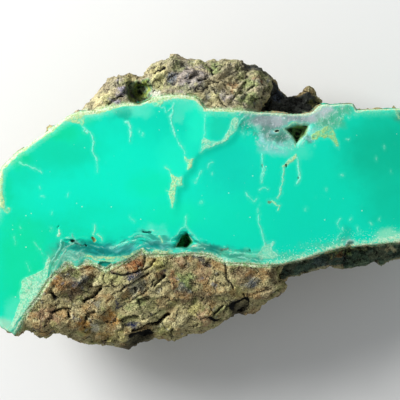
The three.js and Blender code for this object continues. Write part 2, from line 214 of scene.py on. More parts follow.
lowerRockOutline = [
    (16.2, -15.1), (15.2, -17.6), (15.2, -19.6), (16.5, -21.3), (16.5, -22.1), (14.5, -23.8),
    (12.5, -25.3), (10.5, -26.3), (8, -28.1), (4.5, -28.3), (2, -30.1), (-0.5, -31.3), (-3.5, -33.1),
    (-6.5, -33.8), (-8, -34.8), (-10.5, -35.1), (-13.5, -35.3), (-15.5, -34.3), (-17.5, -35.6),
    (-20.5, -36.6), (-22.5, -37.3), (-26.5, -36.6), (-32, -36.1), (-35.5, -34.6), (-39.5, -33.1),
    (-41.5, -33.1), (-43.5, -34.1), (-46.5, -32.6), (-48.5, -32.3), (-50.8, -33.6), (-54, -28), (-51, -18),
    (-44, -8), (-24, -4), (15.5, -4),
]
stripOutline = [
    (13, -6), (15.8, -21.1), (18.2, -19.3), (22.2, -18.3), (24.5, -17.3), (27.5, -16.8), (32.8, -17.6),
    (34.5, -16.6), (38, -15.8), (45.5, -15.1), (49.2, -14.1), (53, -11.8), (54.8, -9.6), (52.5, -1),
    (30.5, -1),
]
bodies = [veinOutline, upperRockOutline, shadedRockOutline, lowerRockOutline, stripOutline]
roundings = [0.8, 3, 3, 2, 2.5]
swells = [0, 0.6, 1.4, 0.55, 0.3]  # the crumbly edges stand this far outside the outlines
ledgeLine = [
    (5, 18.4), (3, 15.7), (-1.8, 13.7), (-4.8, 12.2), (-6.2, 10.7), (-7, 8.2), (-8.8, 6.4), (-8.8, 3.9),
    (-10.2, 3.7), (-10.8, -1.1), (-11.2, -5.1),
]
pits = [  # the middle and the half sizes
    ((-19.8, 27.9, 35), (3.5, 3.2, 7)),
    ((59.5, 3, 20), (5, 9, 10)),
    ((56.5, 23, 18), (6, 6, 12)),
]
vugs = [  # an outline that narrows with depth, and the height of the floor
    ([(16.6, 18.2), (19.8, 19.4), (23, 19.2), (22.2, 16.8), (19.6, 14.2), (18.4, 16.4)], 30.6),
    ([(-9.2, -8.3), (-7.6, -7.6), (-5.8, -10.3), (-7.6, -11.8), (-11, -11.6)], 31.6),
    ([(2.4, -31.5), (3.6, -26.4), (6.6, -24.4), (8.4, -25), (7.9, -27), (6, -31)], 14),
    ([(-25.6, -39), (-24, -35.8), (-20.8, -33.9), (-18, -33.3), (-15.6, -34.6), (-14, -39)], 12),
]
breaks = [  # old flat breaks across the lower edges: a point on each, and the way it faces
    ((-57.5, -5, 17), (-0.74, 0.1, -0.66)),
    ((-46, 17, 23), (-0.42, 0.62, -0.66)),
    ((-8, 37, 21), (-0.1, 0.66, -0.74)),
    ((24, 27, 16), (0.25, 0.7, -0.66)),
    ((57.5, 4, 15), (0.8, 0.12, -0.58)),
    ((40, -16, 19), (0.32, -0.66, -0.68)),
    ((4, -30, 17), (0.3, -0.72, -0.62)),
    ((-26, -37, 21), (-0.16, -0.68, -0.71)),
    ((-53, -30, 22), (-0.6, -0.48, -0.64)),
]


# Lumps of broken rock about 10 mm apart, from -1 in the hollows to 1 on the crests.
def lumps(x, y, z):
    u = x + 1.8 * np.sin(0.23 * y + 0.19 * z)
    v = y + 1.8 * np.sin(0.27 * x - 0.21 * z + 1)
    w = z + 1.8 * np.sin(0.25 * x + 0.17 * y + 2)
    large = np.sin(0.52 * u + 0.31 * v) + np.sin(0.55 * v - 0.38 * w + 1.3) + np.sin(0.5 * w - 0.29 * u)
    small = np.sin(1.1 * u - 0.7 * v + 0.4) * np.sin(0.9 * v + 0.8 * w)
    return np.clip(0.36 * large + 0.3 * small, -1, 1)


# Ledges that run up to the right across the lower rock.
def terrace(x, y):
    across = 0.1 * (0.5 * x - 0.87 * y) + 0.25 * np.sin(0.16 * x + 0.1 * y)
    phase = across - np.floor(across)
    return smoothStep(0, 0.8, phase) - smoothStep(0.8, 1, phase)


def faceTop(x, y):
    low = lineDistance(ledgeLine, x, y, signed=True)
    along = smoothStep(-6, 4, y) * (1 - smoothStep(18, 22, y))
    step = smoothStep(-0.4, 1.9, low) * (1 - smoothStep(0, stone["ledgeReach"], low)) * along
    wave = stone["faceWave"] * np.sin(0.11 * x + 0.6) * np.cos(0.13 * y)
    return faceHeight - stone["ledgeStep"] * step + wave


def bodyTops(x, y, edges):
    fromVein = np.maximum(edges[0], 0)
    return [
        faceTop(x, y),
        faceHeight - 1 - 0.42 * fromVein - 2.6 * (1 - smoothStep(0, 4, -edges[1]))
        + 1.5 * lumps(1.3 * x, 1.3 * y, 0) * smoothStep(0, 3, fromVein),
        faceHeight - 12.5 - 0.3 * fromVein + 1.8 * lumps(1.4 * x, 1.4 * y, 9),
        faceHeight - 0.5 - 0.1 * fromVein - 0.012 * fromVein**2 - 3 * (1 - smoothStep(0, 3.5, -edges[3]))
        + (0.9 * lumps(x, y, 4) + stone["terraceStep"] * terrace(x, y)) * smoothStep(0, 4, fromVein),
        faceHeight - 6 - 0.7 * fromVein + 0.8 * lumps(1.5 * x, 1.5 * y, 2),
    ]


def underside(x, y):
    reach = np.hypot((x - stone["restMiddle"][0]) / stone["restHalf"][0],
                     (y - stone["restMiddle"][1]) / stone["restHalf"][1])
    outside = np.maximum(reach - 0.8, 0)
    return 9 * outside**1.5 + 2.2 * lumps(x, y, 30) * np.minimum(outside, 1) - 1.2


# All that depends on the place seen from above is worked out once on a fine plan.
planLow, planStep, planPoints = np.array((-63.0, -43.0)), 0.25, (505, 345)
planX, planY = np.meshgrid(*(np.arange(n) * planStep + low for n, low in zip(planPoints, planLow)))
planEdges = [outlineDistance(body, planX, planY) - swell for body, swell in zip(bodies, swells)]
planMaps = np.stack(planEdges + bodyTops(planX, planY, planEdges) + [underside(planX, planY)]
                    + [outlineDistance(outline, planX, planY) for outline, floor in vugs], axis=-1)
print("plan of the stone", planMaps.shape)


# Distances to the bodies' outlines, the heights of their tops, the underside and distances to the vugs.
def onPlan(x, y):
    u = np.clip((x - planLow[0]) / planStep, 0, planX.shape[1] - 1.001)
    v = np.clip((y - planLow[1]) / planStep, 0, planX.shape[0] - 1.001)
    i, j = u.astype(int), v.astype(int)
    s, t = (u - i)[:, None], (v - j)[:, None]
    plan = ((planMaps[j, i] * (1 - s) + planMaps[j, i + 1] * s) * (1 - t)
            + (planMaps[j + 1, i] * (1 - s) + planMaps[j + 1, i + 1] * s) * t)
    count = len(bodies)
    return plan[:, :count], plan[:, count:2 * count], plan[:, 2 * count], plan[:, 2 * count + 1:]


# Negative inside the stone.
def stoneField(p):
    x, y, z = p.T
    edges, tops, rise, mouths = onPlan(x, y)
    field = np.min([smoothMax(z - tops[:, n], edges[:, n], r) for n, r in enumerate(roundings)], axis=0)
    lump = lumps(x, y, z)
    inset = (smoothStep(faceHeight - 5, faceHeight - 14, z) * stone["wallLump"] * (0.5 - 0.5 * lump)
             + stone["wallDraw"] * smoothStep(faceHeight - 8, 0, z))
    field = smoothMax(field, edges.min(axis=1) + inset, 1)
    for at, facing in breaks:
        field = smoothMax(field, (p - at) @ np.array(facing) - stone["breakLump"] * lump, 3)
    field = smoothMax(field, rise - z, 4)
    for at, half in pits:
        field = smoothMax(field, (1 - np.linalg.norm((p - at) / half, axis=1)) * min(half), 0.8)
    for n, (outline, floor) in enumerate(vugs):
        inVug = -mouths[:, n] - 0.25 * np.maximum(faceHeight - z, 0)
        field = smoothMax(field, np.minimum(inVug, z - floor), 0.8)
    return field


# Moves points onto the stone's surface. Nothing goes below the level patch it rests on.
def settle(p, turns=2):
    h = 0.04
    for turn in range(turns):
        f = stoneField(p)
        slope = np.stack([(stoneField(p + way) - f) / h for way in np.eye(3) * h], axis=1)
        move = -(f / np.maximum((slope**2).sum(axis=1), 0.25))[:, None] * slope
        p = p + np.clip(move, -0.5, 0.5)
        p[:, 2] = np.maximum(p[:, 2], 0)
    return p


def vertexNormals(p, faces):
    a, b, c = (p[faces[:, n]] for n in range(3))
    facing = np.cross(b - a, c - a)
    total = np.stack([np.bincount(faces.ravel(), np.repeat(way, 3), len(p)) for way in facing.T], axis=1)
    return total / np.maximum(np.linalg.norm(total, axis=1, keepdims=True), 1e-12)


def edgesOf(faces, count):
    pairs = np.sort(faces[:, [0, 1, 1, 2, 2, 0]].reshape(-1, 2), axis=1)
    keys, where = np.unique(pairs[:, 0] * count + pairs[:, 1], return_inverse=True)
    return np.stack([keys // count, keys % count], axis=1), where.reshape(-1, 3)


# The mean of each point's neighbours.
def neighbourMean(values, edges):
    both = np.concatenate([edges, edges[:, ::-1]])
    count = np.bincount(both[:, 0], minlength=len(values))
    sums = np.stack([np.bincount(both[:, 0], v[both[:, 1]], len(values)) for v in values.T], axis=1)
    return sums / count[:, None]


# Halves the edges that are too long for where they are, and divides the triangles on them to match.
def splitEdges(p, faces, reach):
    edges, where = edgesOf(faces, len(p))
    length = np.linalg.norm(p[edges[:, 0]] - p[edges[:, 1]], axis=1)
    halved = np.flatnonzero(length > 1.4 * reach[edges].mean(axis=1))
    middle = np.full(len(edges), -1)
    middle[halved] = len(p) + np.arange(len(halved))
    p = np.concatenate([p, p[edges[halved]].mean(axis=1)])
    m = middle[where]
    marked = m >= 0
    parts = [faces[marked.sum(axis=1) == 0]]
    for turn in range(3):  # one side marked: side 0 after turning
        f, n = np.roll(faces, -turn, axis=1), np.roll(m, -turn, axis=1)
        one = (n[:, 0] >= 0) & (n[:, 1] < 0) & (n[:, 2] < 0)
        a, b, c, ab = f[one, 0], f[one, 1], f[one, 2], n[one, 0]
        parts += [np.stack([a, ab, c], axis=1), np.stack([ab, b, c], axis=1)]
        two = (n[:, 0] < 0) & (n[:, 1] >= 0) & (n[:, 2] >= 0)
        a, b, c, bc, ca = f[two, 0], f[two, 1], f[two, 2], n[two, 1], n[two, 2]
        parts.append(np.stack([ca, bc, c], axis=1))
        short = np.linalg.norm(p[a] - p[bc], axis=1) < np.linalg.norm(p[b] - p[ca], axis=1)
        parts.append(np.where(short[:, None], np.stack([a, b, bc], axis=1), np.stack([a, b, ca], axis=1)))
        parts.append(np.where(short[:, None], np.stack([a, bc, ca], axis=1), np.stack([b, bc, ca], axis=1)))
    three = marked.all(axis=1)
    (a, b, c), (ab, bc, ca) = faces[three].T, m[three].T
    parts += [np.stack(t, axis=1) for t in ((a, ab, ca), (ab, b, bc), (ca, bc, c), (ab, bc, ca))]
    return p, np.concatenate(parts), len(halved)


# Cuts the corners of a line or an outline until it runs smoothly.
def rounded(points, closed):
    points = list(points)
    for turn in range(2):
        following = points[1:] + points[:1] if closed else points[1:]
        cut = []
        for (ax, ay), (bx, by) in zip(points, following):
            cut += [(0.75 * ax + 0.25 * bx, 0.75 * ay + 0.25 * by),
                    (0.25 * ax + 0.75 * bx, 0.25 * ay + 0.75 * by)]
        points = cut if closed else [points[0]] + cut[1:-1] + [points[-1]]
    return points


# The stone takes the colour of the mark that is nearest to each of its points.
def makeMark(half, colour, strength, points, closed=False, depth=0):
    return {"half": half, "colour": colour, "strength": strength, "points": rounded(points, closed),
            "closed": closed, "depth": depth}


def line(half, colour, strength, *points):
    return makeMark(0.75 * half, colour, strength, points)


# Lines of one colour, from rows of half width, strength and points.
def lines(colour, *rows):
    return [line(half, colour, strength, *points) for half, strength, *points in rows]


def patch(colour, strength, *points):
    return makeMark(0, colour, strength, points, closed=True)


# Light marks on the dressed face: healed cracks, cream growths and the rims.
paleMarks = [
    # fine healed cracks in the left lobe
    *lines(mintWhite, (0.24, 0.75, (-33.8, 18.9), (-33.5, 18.4), (-33, 17.9), (-32.2, 17.2),
         (-31.5, 16.2), (-31, 14.7), (-31.2, 13.4), (-31.2, 12.7), (-31, 11.4), (-30.2, 10.2)),
        (0.5, 0.8, (-33.4, 17.7), (-33.1, 17.2)), (0.2, 0.25, (-30.2, 10.2), (-30, 8.9), (-30.2, 7.4)),
        (0.22, 0.55, (-49.5, 9.7), (-48.5, 8.9), (-48, 9.4), (-46.5, 8.7), (-45.2, 8.2), (-44, 7.2)),
        (0.3, 0.25, (-44.5, 3.9), (-44.5, 3.2)), (0.4, 0.25, (-44.2, 1.4), (-43.8, 1.4)),
        (0.25, 0.3, (-41.5, -2.6), (-41.5, -3.3)), (0.25, 0.3, (-37.5, 1.9), (-37.5, 1.4)),
        (0.34, 0.75, (-23.2, 19.8), (-22.5, 19.9), (-21.8, 18.7), (-22.1, 17.9), (-22, 16.7),
         (-22, 15.2)),
        (0.3, 0.5, (-19.8, 17.6), (-19.8, 17.2)), (0.3, 0.5, (-18.9, 16.9), (-18.9, 16.4)),
        (0.22, 0.5, (-15, 24.4), (-14.2, 23.4), (-13.5, 23.9), (-13, 22.4)),
        (0.3, 0.8, (-11, 24.7), (-11.5, 23.7), (-11, 22.7), (-12, 21.7), (-11.9, 20.4), (-11.4, 19.2),
         (-11.1, 17.7), (-10.6, 16.2)),
        (0.24, 0.7, (-11.5, 23.7), (-12.5, 22.7)), (0.2, 0.35, (-10.6, 16.2), (-9.8, 14.7)),
        (0.3, 0.8, (-9.8, 14.7), (-8.5, 12.9), (-8.2, 11.9)), (0.18, 0.4, (-46, -10.3), (-43.8, -13.1)),
        (0.18, 0.35, (-48, -15.3), (-47, -17.3)), (0.2, 0.3, (-51, -8.6), (-50.9, -10.6)),
        (0.2, 0.3, (-49.5, -6.3), (-49.2, -6.8))),
    # cream growths along the step
    patch(yellowCream, 0.95, (-8.4, 11.7), (-7.2, 10.4), (-6.1, 10.8), (-6.5, 9.9), (-7, 8.4),
        (-7.8, 7.7), (-7.6, 9.2), (-8.2, 10.9)),
    patch(yellowCream, 0.95, (-12, 7.7), (-12, 6.9), (-11, 6.4), (-9.8, 6.2), (-8.8, 6.6), (-9, 4.9),
        (-8.6, 4.2), (-8.8, 3.7), (-9.5, 3.9), (-10.2, 3.8), (-10.6, 2.9), (-10.9, 1.4), (-10.8, 0.4),
        (-11, -1.1), (-11.4, -1.8), (-11.5, -0.6), (-11.9, 0.9), (-12.5, 1.9), (-12.2, 2.7), (-12, 4.2),
        (-11.8, 5.7)),
    *lines(yellowCream, (0.16, 0.7, (-13, 8.7), (-12, 7.7)), (0.16, 0.7, (-13, 2.9), (-12.2, 2.7))),
    # the crust round the small raised lobe
    patch(mintCream, 0.85, (4, 21.2), (4.9, 21.1), (4.9, 18.7), (4, 17.4), (3, 16.2), (2.4, 15.2),
        (1.8, 14.8), (0, 14.2), (-1.8, 13.4), (-3, 13.2), (-3.8, 12.9), (-4.5, 12.2), (-4, 14.2),
        (-3.6, 16.2), (-3, 15.9), (-2, 15.2), (-0.5, 14.8), (1, 15.2), (2, 16.2), (2.5, 17.7),
        (3.2, 19.7)),
    *lines(mintWhite, (0.16, 0.5, (-3.2, 21.9), (-3.4, 19.2), (-3.2, 17.2), (-3.6, 16.2)),
        (0.2, 0.55, (5, 18.9), (5.5, 20.2), (6.5, 21.2))),
    line(0.22, ivory, 0.85, (-3.5, 22.7), (-2, 22.6), (2.5, 22.7), (5.5, 22.8), (8, 22.8), (10.2, 22.2)),
    line(0.3, paleMint, 0.4, (5.8, 17.2), (6.2, 16.7)),
    # cream rim of the natural edge, upper left and top
    *lines(ivory, (0.24, 0.9, (-34.2, 22.2), (-31.2, 23.2), (-28.2, 23.8), (-26, 24.2), (-24.5, 24.2),
         (-21.2, 24.1), (-18.2, 24.4), (-16.5, 25.4)),
        (0.2, 0.85, (-13.5, 25.2), (-12, 25.7), (-9.5, 26.3), (-7, 26.4), (-5, 25.9), (-4.2, 24.9),
         (-3.2, 22.9))),
    patch(yellowCream, 0.8, (-16.5, 25.4), (-14, 26.2), (-13.5, 24.9), (-14.5, 23.7), (-16.2, 23.9)),
    patch(creamGreen, 0.85, (-39, 20.6), (-37, 21.8), (-34.8, 22.5), (-33.4, 21.5), (-33.6, 19),
        (-34.6, 19.6), (-36, 19.8), (-37.4, 20)),
    # marks of the right lobe
    *lines(mintWhite, (0.26, 0.8, (19.5, 11.4), (20, 10.7), (20.2, 9.3), (20.2, 7.9), (20.5, 6.7),
         (20.2, 5.4), (19.5, 4.6)),
        (0.26, 0.7, (11, 11.9), (11, 10.4), (11.2, 8.9), (12, 8.2), (11.2, 6.7), (10.9, 4.9)),
        (0.2, 0.6, (10.5, 2.8), (11.5, 3.6), (12.3, 3.2)),
        (0.22, 0.6, (7, 2.2), (7.8, 1.1), (8.8, -0.3), (9.8, 0.7)),
        (0.2, 0.45, (-1.5, 10.1), (-2.2, 9.4), (-2.6, 8.4)), (0.25, 0.45, (-1.5, 7.2), (-1.5, 6.8)),
        (0.25, 0.4, (-4.2, 7.6), (-5, 6.7), (-5.8, 4.6)),
        (0.16, 0.4, (-4.4, -0.3), (-4, 0.1), (-3.6, -0.3), (-4, -0.7), (-4.4, -0.3)),
        (0.3, 0.5, (32.2, 15.4), (32.6, 15.4)), (0.2, 0.5, (32.8, 21.3), (32.9, 20.9)),
        (0.2, 0.45, (39.5, 10.9), (39.6, 10.4)), (0.2, 0.45, (41.4, 13.9), (41.5, 13.4)),
        (0.2, 0.4, (43.2, 7.7), (43.3, 7.2)), (0.25, 0.4, (30.8, 6.7), (31.2, 6.7)),
        (0.25, 0.4, (18.5, 13.3), (18.5, 12.9)), (0.25, 0.4, (24.2, 14.4), (24.2, 14.1)),
        (0.16, 0.4, (10.5, -0.8), (10, -1.8), (10, -2.8)), (0.2, 0.35, (22, -1.6), (22, -2.1)),
        (0.2, 0.35, (27.2, 3.4), (27.2, 2.9)),
        (0.2, 0.6, (30.5, -4.3), (30, -5.1), (29.8, -5.6), (30.2, -6.6)),
        (0.32, 0.6, (30.9, -6.3), (31, -6.8)), (0.18, 0.5, (30.8, -7.8), (30.2, -8.6), (29.8, -9.6)),
        (0.2, 0.5, (33.1, -4.1), (33.1, -4.6)),
        (0.2, 0.5, (35, -6.3), (35.2, -7.6), (35.2, -8.6), (36, -7.8)),
        (0.2, 0.45, (40.5, -4.1), (40.5, -4.6)), (0.2, 0.45, (38.2, -5.1), (38.2, -5.6))),
    line(0.26, mintCream, 0.75, (18.4, 10.8), (17, 9.9), (16.5, 8.9), (16.6, 7.9), (16, 6.7), (16.2, 5.4),
        (15.5, 3.7), (15.9, 2.2), (14.8, 0.7)),
    patch(creamGreen, 0.8, (15.8, 8.4), (16.5, 9.4), (17.5, 10.2), (18.5, 10.7), (19.2, 11.7),
        (19.8, 11.7), (19.8, 10.9), (19, 10.2), (18, 9.7), (17.2, 8.9), (16.5, 8.4)),
    patch(mintWhite, 0.6, (10.8, 8.9), (11.5, 8.4), (12, 7.4), (11.5, 5.9), (10.8, 5.2), (10.5, 6.2),
        (11, 7.4)),
    line(0.24, yellowCream, 0.75, (12.5, -0.1), (13.8, -0.1), (14.5, -0.8), (15.8, -0.7), (15, -2.1)),
    line(0.22, whiteLilac, 0.8, (31.8, -11.3), (32, -10.6), (32.5, -9.9), (33.2, -9.7), (34, -9.8)),
    # the yellow claw, the rim of the vug beside it, and the crust above them
    patch(clawGreen, 0.9, (23.25, 15.94), (23.75, 16.94), (24.75, 17.69), (25.75, 17.69), (26.5, 18.69),
        (27.5, 18.94), (28.5, 18.19), (29.25, 16.94), (29.75, 15.44), (30.25, 13.69), (29.75, 13.44),
        (29, 14.69), (28.25, 15.69), (27.5, 16.19), (26.5, 15.69), (25.25, 16.19), (24.5, 15.44),
        (23.5, 15.19)),
    *lines(mintCream, (0.2, 0.8, (18.4, 16.4), (18.8, 14.9), (19.2, 13.7)),
        (0.2, 0.7, (19.25, 14.19), (20, 15.19), (21, 15.94), (22, 16.69)),
        (0.5, 0.6, *vugs[0][0], vugs[0][0][0])),
    *lines(creamGreen, (0.2, 0.8, (16.75, 17.94), (17.5, 18.69), (18.5, 19.44), (19.75, 19.56)),
        (0.24, 0.75, (21.75, 19.44), (22.5, 18.94), (22.25, 17.69), (21.5, 16.94))),
    *lines(ivory, (0.16, 0.8, (14, 17.7), (14.8, 18.2), (15.5, 17.7), (14.8, 17.2), (14, 17.7)),
        (0.24, 0.95, (10.2, 22.1), (13, 22.1), (15.2, 21.8), (17.5, 22.1), (20.2, 22.1), (21.2, 21.6),
         (23, 22.1), (24.9, 22.6), (25.8, 23.6), (26.5, 24.3)),
        (0.24, 0.85, (26.5, 24.3), (27.8, 23.9), (30.2, 24.1), (32.5, 24.6), (34.2, 23.9), (34.5, 22.2),
         (36.8, 22.8), (39.5, 23.2), (42.2, 23.4), (45.5, 23.1), (50.5, 22.4))),
    line(0.16, yellowCream, 0.35, (32, 21.7), (31.2, 20.9), (30.5, 20.2), (30, 19.2), (29.9, 18.4)),
    *lines(whiteMint, (0.14, 0.35, (24.8, 22.4), (26, 20.9), (27, 21.2), (28.2, 19.9), (27.8, 18.7)),
        (0.14, 0.35, (26, 20.9), (25.5, 19.4), (26.5, 18.2))),
    line(0.35, white, 0.9, (16.4, 20.8), (16.6, 20.8)),
    *lines(blueWhite, (0.4, 0.6, (10.2, 16.4), (11, 15.4), (12, 14.4)),
        (0.5, 0.55, (20.5, 16.4), (22, 15.9), (23.8, 15.2))),
    line(0.5, paleMint, 0.5, (14.2, 14.7), (15.5, 13.4), (17.5, 13.2)),
    # beside the stain at the right
    line(0.35, yellowCream, 0.55, (44.5, 24.7), (44, 23.4), (44.5, 22.2), (45.5, 20.9), (46.8, 20.4)),
    # lower seam: flames, domes and the line under the face
    *lines(mintCream, (0.2, 0.7, (-30.9, -5.7), (-30.6, -7.1), (-31, -8.3)),
        (0.24, 0.6, (-30, -8.1), (-29.5, -8.6), (-28.9, -9.6))),
    *lines(ivory, (0.26, 0.9, (-39.8, -7.1), (-39.8, -8.7)),
        (0.16, 0.85, (-10.4, -11.3), (-9.9, -10.1), (-8.5, -8.3), (-7.2, -8.9), (-6.5, -9.9),
         (-7, -10.8)),
        (0.2, 0.8, (2.5, -15.3), (5.5, -15.6), (8, -15.7), (10, -16.3))),
    *lines(mintWhite, (0.24, 0.5, (-41.8, -6.6), (-41.8, -7.1)),
        (0.3, 0.8, (-26.8, -11.6), (-25.5, -10.8), (-23.5, -10.4), (-22, -9.9), (-20.5, -9.8)),
        (0.2, 0.5, (-20.8, -8.8), (-19.5, -8.6), (-18.2, -8.8)),
        (0.18, 0.5, (-7.9, -3.7), (-8, -4.8), (-8.2, -5.8), (-9.5, -7.3), (-11, -8.8), (-12, -9.8)),
        (0.18, 0.5, (-8.2, -5.8), (-7.6, -6.8), (-6.5, -8.1), (-5.2, -9.3), (-3.8, -10.6), (-2, -11.1)),
        (0.18, 0.7, (3, -13.1), (5, -12.8), (7, -13.3), (9.5, -13.1)),
        (0.18, 0.7, (2.5, -14.3), (5, -13.9), (7.2, -14.4), (9.8, -14.6))),
    line(0.22, lilacGrey, 0.6, (-36.5, -8.4), (-35.8, -9.6), (-35.2, -10.3), (-34.5, -10.6)),
    line(0.24, greyMint, 0.7, (-36, -10.1), (-37, -10.8), (-38, -11.6), (-38.8, -12.3)),
    patch(greyMint, 0.55, (-39.5, -15.1), (-39, -14.1), (-38, -12.8), (-36.9, -12.1), (-35, -12.4),
        (-33.5, -12.8), (-33, -13.6), (-34.5, -14.8), (-34.8, -16.6), (-36, -16.1), (-37, -15.1)),
    line(0.2, paleMint, 0.6, (-22, -3.8), (-21, -4.8)),
    line(0.3, yellowCream, 0.8, (-14.8, -8.6), (-14.2, -9.3), (-14, -10.1)),
    patch(creamGreen, 0.85, (-16.5, -12.3), (-15, -11.9), (-13, -12.1), (-11.2, -12.3), (-12, -13.1),
        (-14.2, -13.3), (-16.2, -13.2)),
    line(0.3, pinkCream, 0.6, (-6.4, -11.1), (-5.6, -11.1)),
    patch(whiteMint, 0.85, (0.8, -14.1), (2.2, -14.1), (2.5, -15.1), (1.2, -15.4), (0.5, -14.8)),
    # cream rim of the face along the lower rock
    *lines(creamGreen, (0.42, 0.9, (-33, -13.8), (-30.8, -13.9), (-27, -14.2), (-25, -14.2),
         (-23.5, -13.8), (-22.2, -13.6), (-21, -12.9), (-20, -12.3), (-18.8, -11.9)),
        (0.26, 0.85, (-31, -14.3), (-29.5, -14.9), (-27.5, -14.9), (-25.5, -14.7), (-24, -14.6)),
        (0.26, 0.85, (-18.8, -12.3), (-17, -13.6), (-14.5, -13.8), (-11.5, -13.8), (-8.2, -13.4),
         (-4.5, -13.6), (-1.5, -13.8), (1, -15.1))),
    # the stem that ends in the patch at the bottom edge
    line(0.2, mintWhite, 0.75, (10.1, -3.3), (10.1, -4.8), (10.6, -6.6), (11.2, -8.3), (11.6, -10.1),
        (12, -10.8)),
    line(0.35, greyMint, 0.8, (12, -10.6), (12.8, -12.1), (12, -13.6), (10.8, -14.3)),
    *lines(whiteMint, (0.3, 0.7, (14, -10.3), (13.2, -11.8), (14.8, -13.6)),
        (0.25, 0.6, (12.8, -12.1), (13.5, -14.1))),
    patch(mintCream, 0.5, (11.5, -10.06), (12, -10.81), (13, -10.56), (13.75, -11.06), (13.5, -12.31),
        (14.25, -13.56), (14.75, -14.06), (12.5, -14.31), (10.5, -14.06), (9.25, -13.56), (10.5, -12.56),
        (11.25, -11.31)),
    # the pale patch and the channel at the lower left
    patch(mintCream, 0.9, (-42.5, -13.6), (-41.6, -14.6), (-42, -15.3), (-42.2, -16.1), (-42.4, -17.6),
        (-42.8, -19.1), (-43.2, -20.6), (-43.8, -21.8), (-44.3, -23.1), (-45, -23.6), (-46.1, -24.1),
        (-46.8, -25.6), (-47.8, -27.1), (-48.8, -28.6), (-50, -29.8), (-51.1, -31.1), (-51.8, -32.6),
        (-52.8, -32.3), (-52.2, -31.1), (-51.2, -29.3), (-50.5, -27.3), (-50, -25.8), (-49.5, -24.6),
        (-49.5, -23.1), (-49.1, -22.1), (-49, -20.6), (-48.6, -19.3), (-47.4, -18.8), (-45.8, -18.3),
        (-44.5, -17.6), (-43.5, -16.8), (-43, -15.6), (-42.8, -14.3)),
    line(0.2, mintWhite, 0.75, (-39, -9.6), (-39.5, -11.3), (-40.2, -12.8), (-41.6, -14.8)),
    line(0.24, greyMint, 0.9, (-38, -12.3), (-39.2, -13.8), (-40.2, -15.6), (-40.8, -16.8),
        (-41.8, -18.1), (-42, -19.8)),
    line(0.26, yellowCream, 0.9, (-41.2, -19.1), (-42.2, -20.1), (-43.2, -21.6), (-44.2, -23.1),
        (-45.5, -25.6), (-46.8, -27.3), (-48.2, -29.8), (-49.8, -31.8), (-50.2, -33.1)),
]
# The rim's ivory line along the rocks, and the old skin at the left end.
paleMarks += [
    line(0.45, ivory, 0.9, *veinOutline[9:22]),
    line(0.3, ivory, 0.8, *veinOutline[22:34]),
    line(0.45, ivory, 0.9, *veinOutline[42:61]),
    *lines(creamGreen, (0.8, 0.85, (-55.2, 9.2), (-54.2, 7.2), (-54.5, 4.9), (-54.5, 2.4), (-54.2, 0.4),
         (-53.8, -1.3)),
        (0.4, 0.85, (-54.2, -0.3), (-53.5, -1.8), (-52.8, -2.8), (-52.2, -1.8))),
]
# Dark marks on the face.
darkMarks = [
    # open slits and small pits; the black ones are painted shade, sunk a little
    *lines(pitShadeBlack, (0.24, 0.95, (-4, 24.7), (-3.5, 23.9), (-3.1, 23.2)),
        (0.3, 0.95, (14.5, 17.7), (15.1, 17.7)), (0.26, 0.9, (17, 9.1), (17.2, 8.6)),
        (0.5, 0.95, (-36.8, -9.7), (-36.3, -9.7)),
        (0.14, 0.7, (-36, -10.3), (-34.5, -10.8), (-33.2, -10.9)),
        (0.28, 0.9, (-33.2, -10.9), (-33, -11)), (0.28, 0.8, (8, -12.2), (8.2, -12.4))),
    *lines(seamBrown, (0.22, 0.7, (20.2, 6.2), (20.1, 5.7)), (0.25, 0.7, (11.2, 9.2), (11.2, 8.7)),
        (0.3, 0.6, (12.5, -0.1), (13.2, -0.2)), (0.3, 0.8, (24, 16), (24.1, 15.8)),
        (0.5, 0.55, (1, -12.1), (2.2, -11.8)), (0.18, 0.5, (-33.5, 17.1), (-33.2, 16.9))),
    *lines(deepTeal, (0.2, 0.8, (-40.2, -6.6), (-39.8, -6.1)), (0.3, 0.9, (-18.5, -7.6), (-16.8, -7.6))),
    line(0.5, yellowOlive, 0.9, (-31.2, -9.3), (-31, -9.7)),
    *lines(greyTeal, (0.9, 0.85, (32.6, -11.1), (33.5, -10.7)),
        (0.14, 0.7, (-46.5, -20.6), (-46.6, -22.1), (-46.2, -23.8))),
    # dark teal in the seam
    patch(deepTeal, 0.8, (-30, -15.2), (-26.5, -15.1), (-26.2, -16.1), (-27.5, -17.1), (-29.8, -17.3)),
    line(0.3, deepTeal, 0.55, (-11, -9.6), (-10, -8.4), (-8.8, -7.4), (-7, -8.6), (-5.5, -10.1),
        (-4, -10.8)),
    # the dull channel at the lower left and its dark edge
    line(0.34, channelTeal, 0.6, (-38.5, -10.3), (-38.8, -11.8), (-39.9, -13.6), (-41, -14.8),
        (-41.8, -16.3), (-42, -17.8), (-42.4, -19.3), (-43, -20.6), (-43.8, -22.3), (-44.9, -24.1),
        (-46.1, -25.1), (-47.4, -26.8), (-48.6, -28.8), (-50, -30.6), (-51.2, -32.6)),
    line(0.14, seamBrown, 0.5, (-41, -15.3), (-41.5, -17.1), (-41.9, -18.8), (-42.5, -20.3),
        (-43.5, -22.6), (-44.5, -24.1)),
]
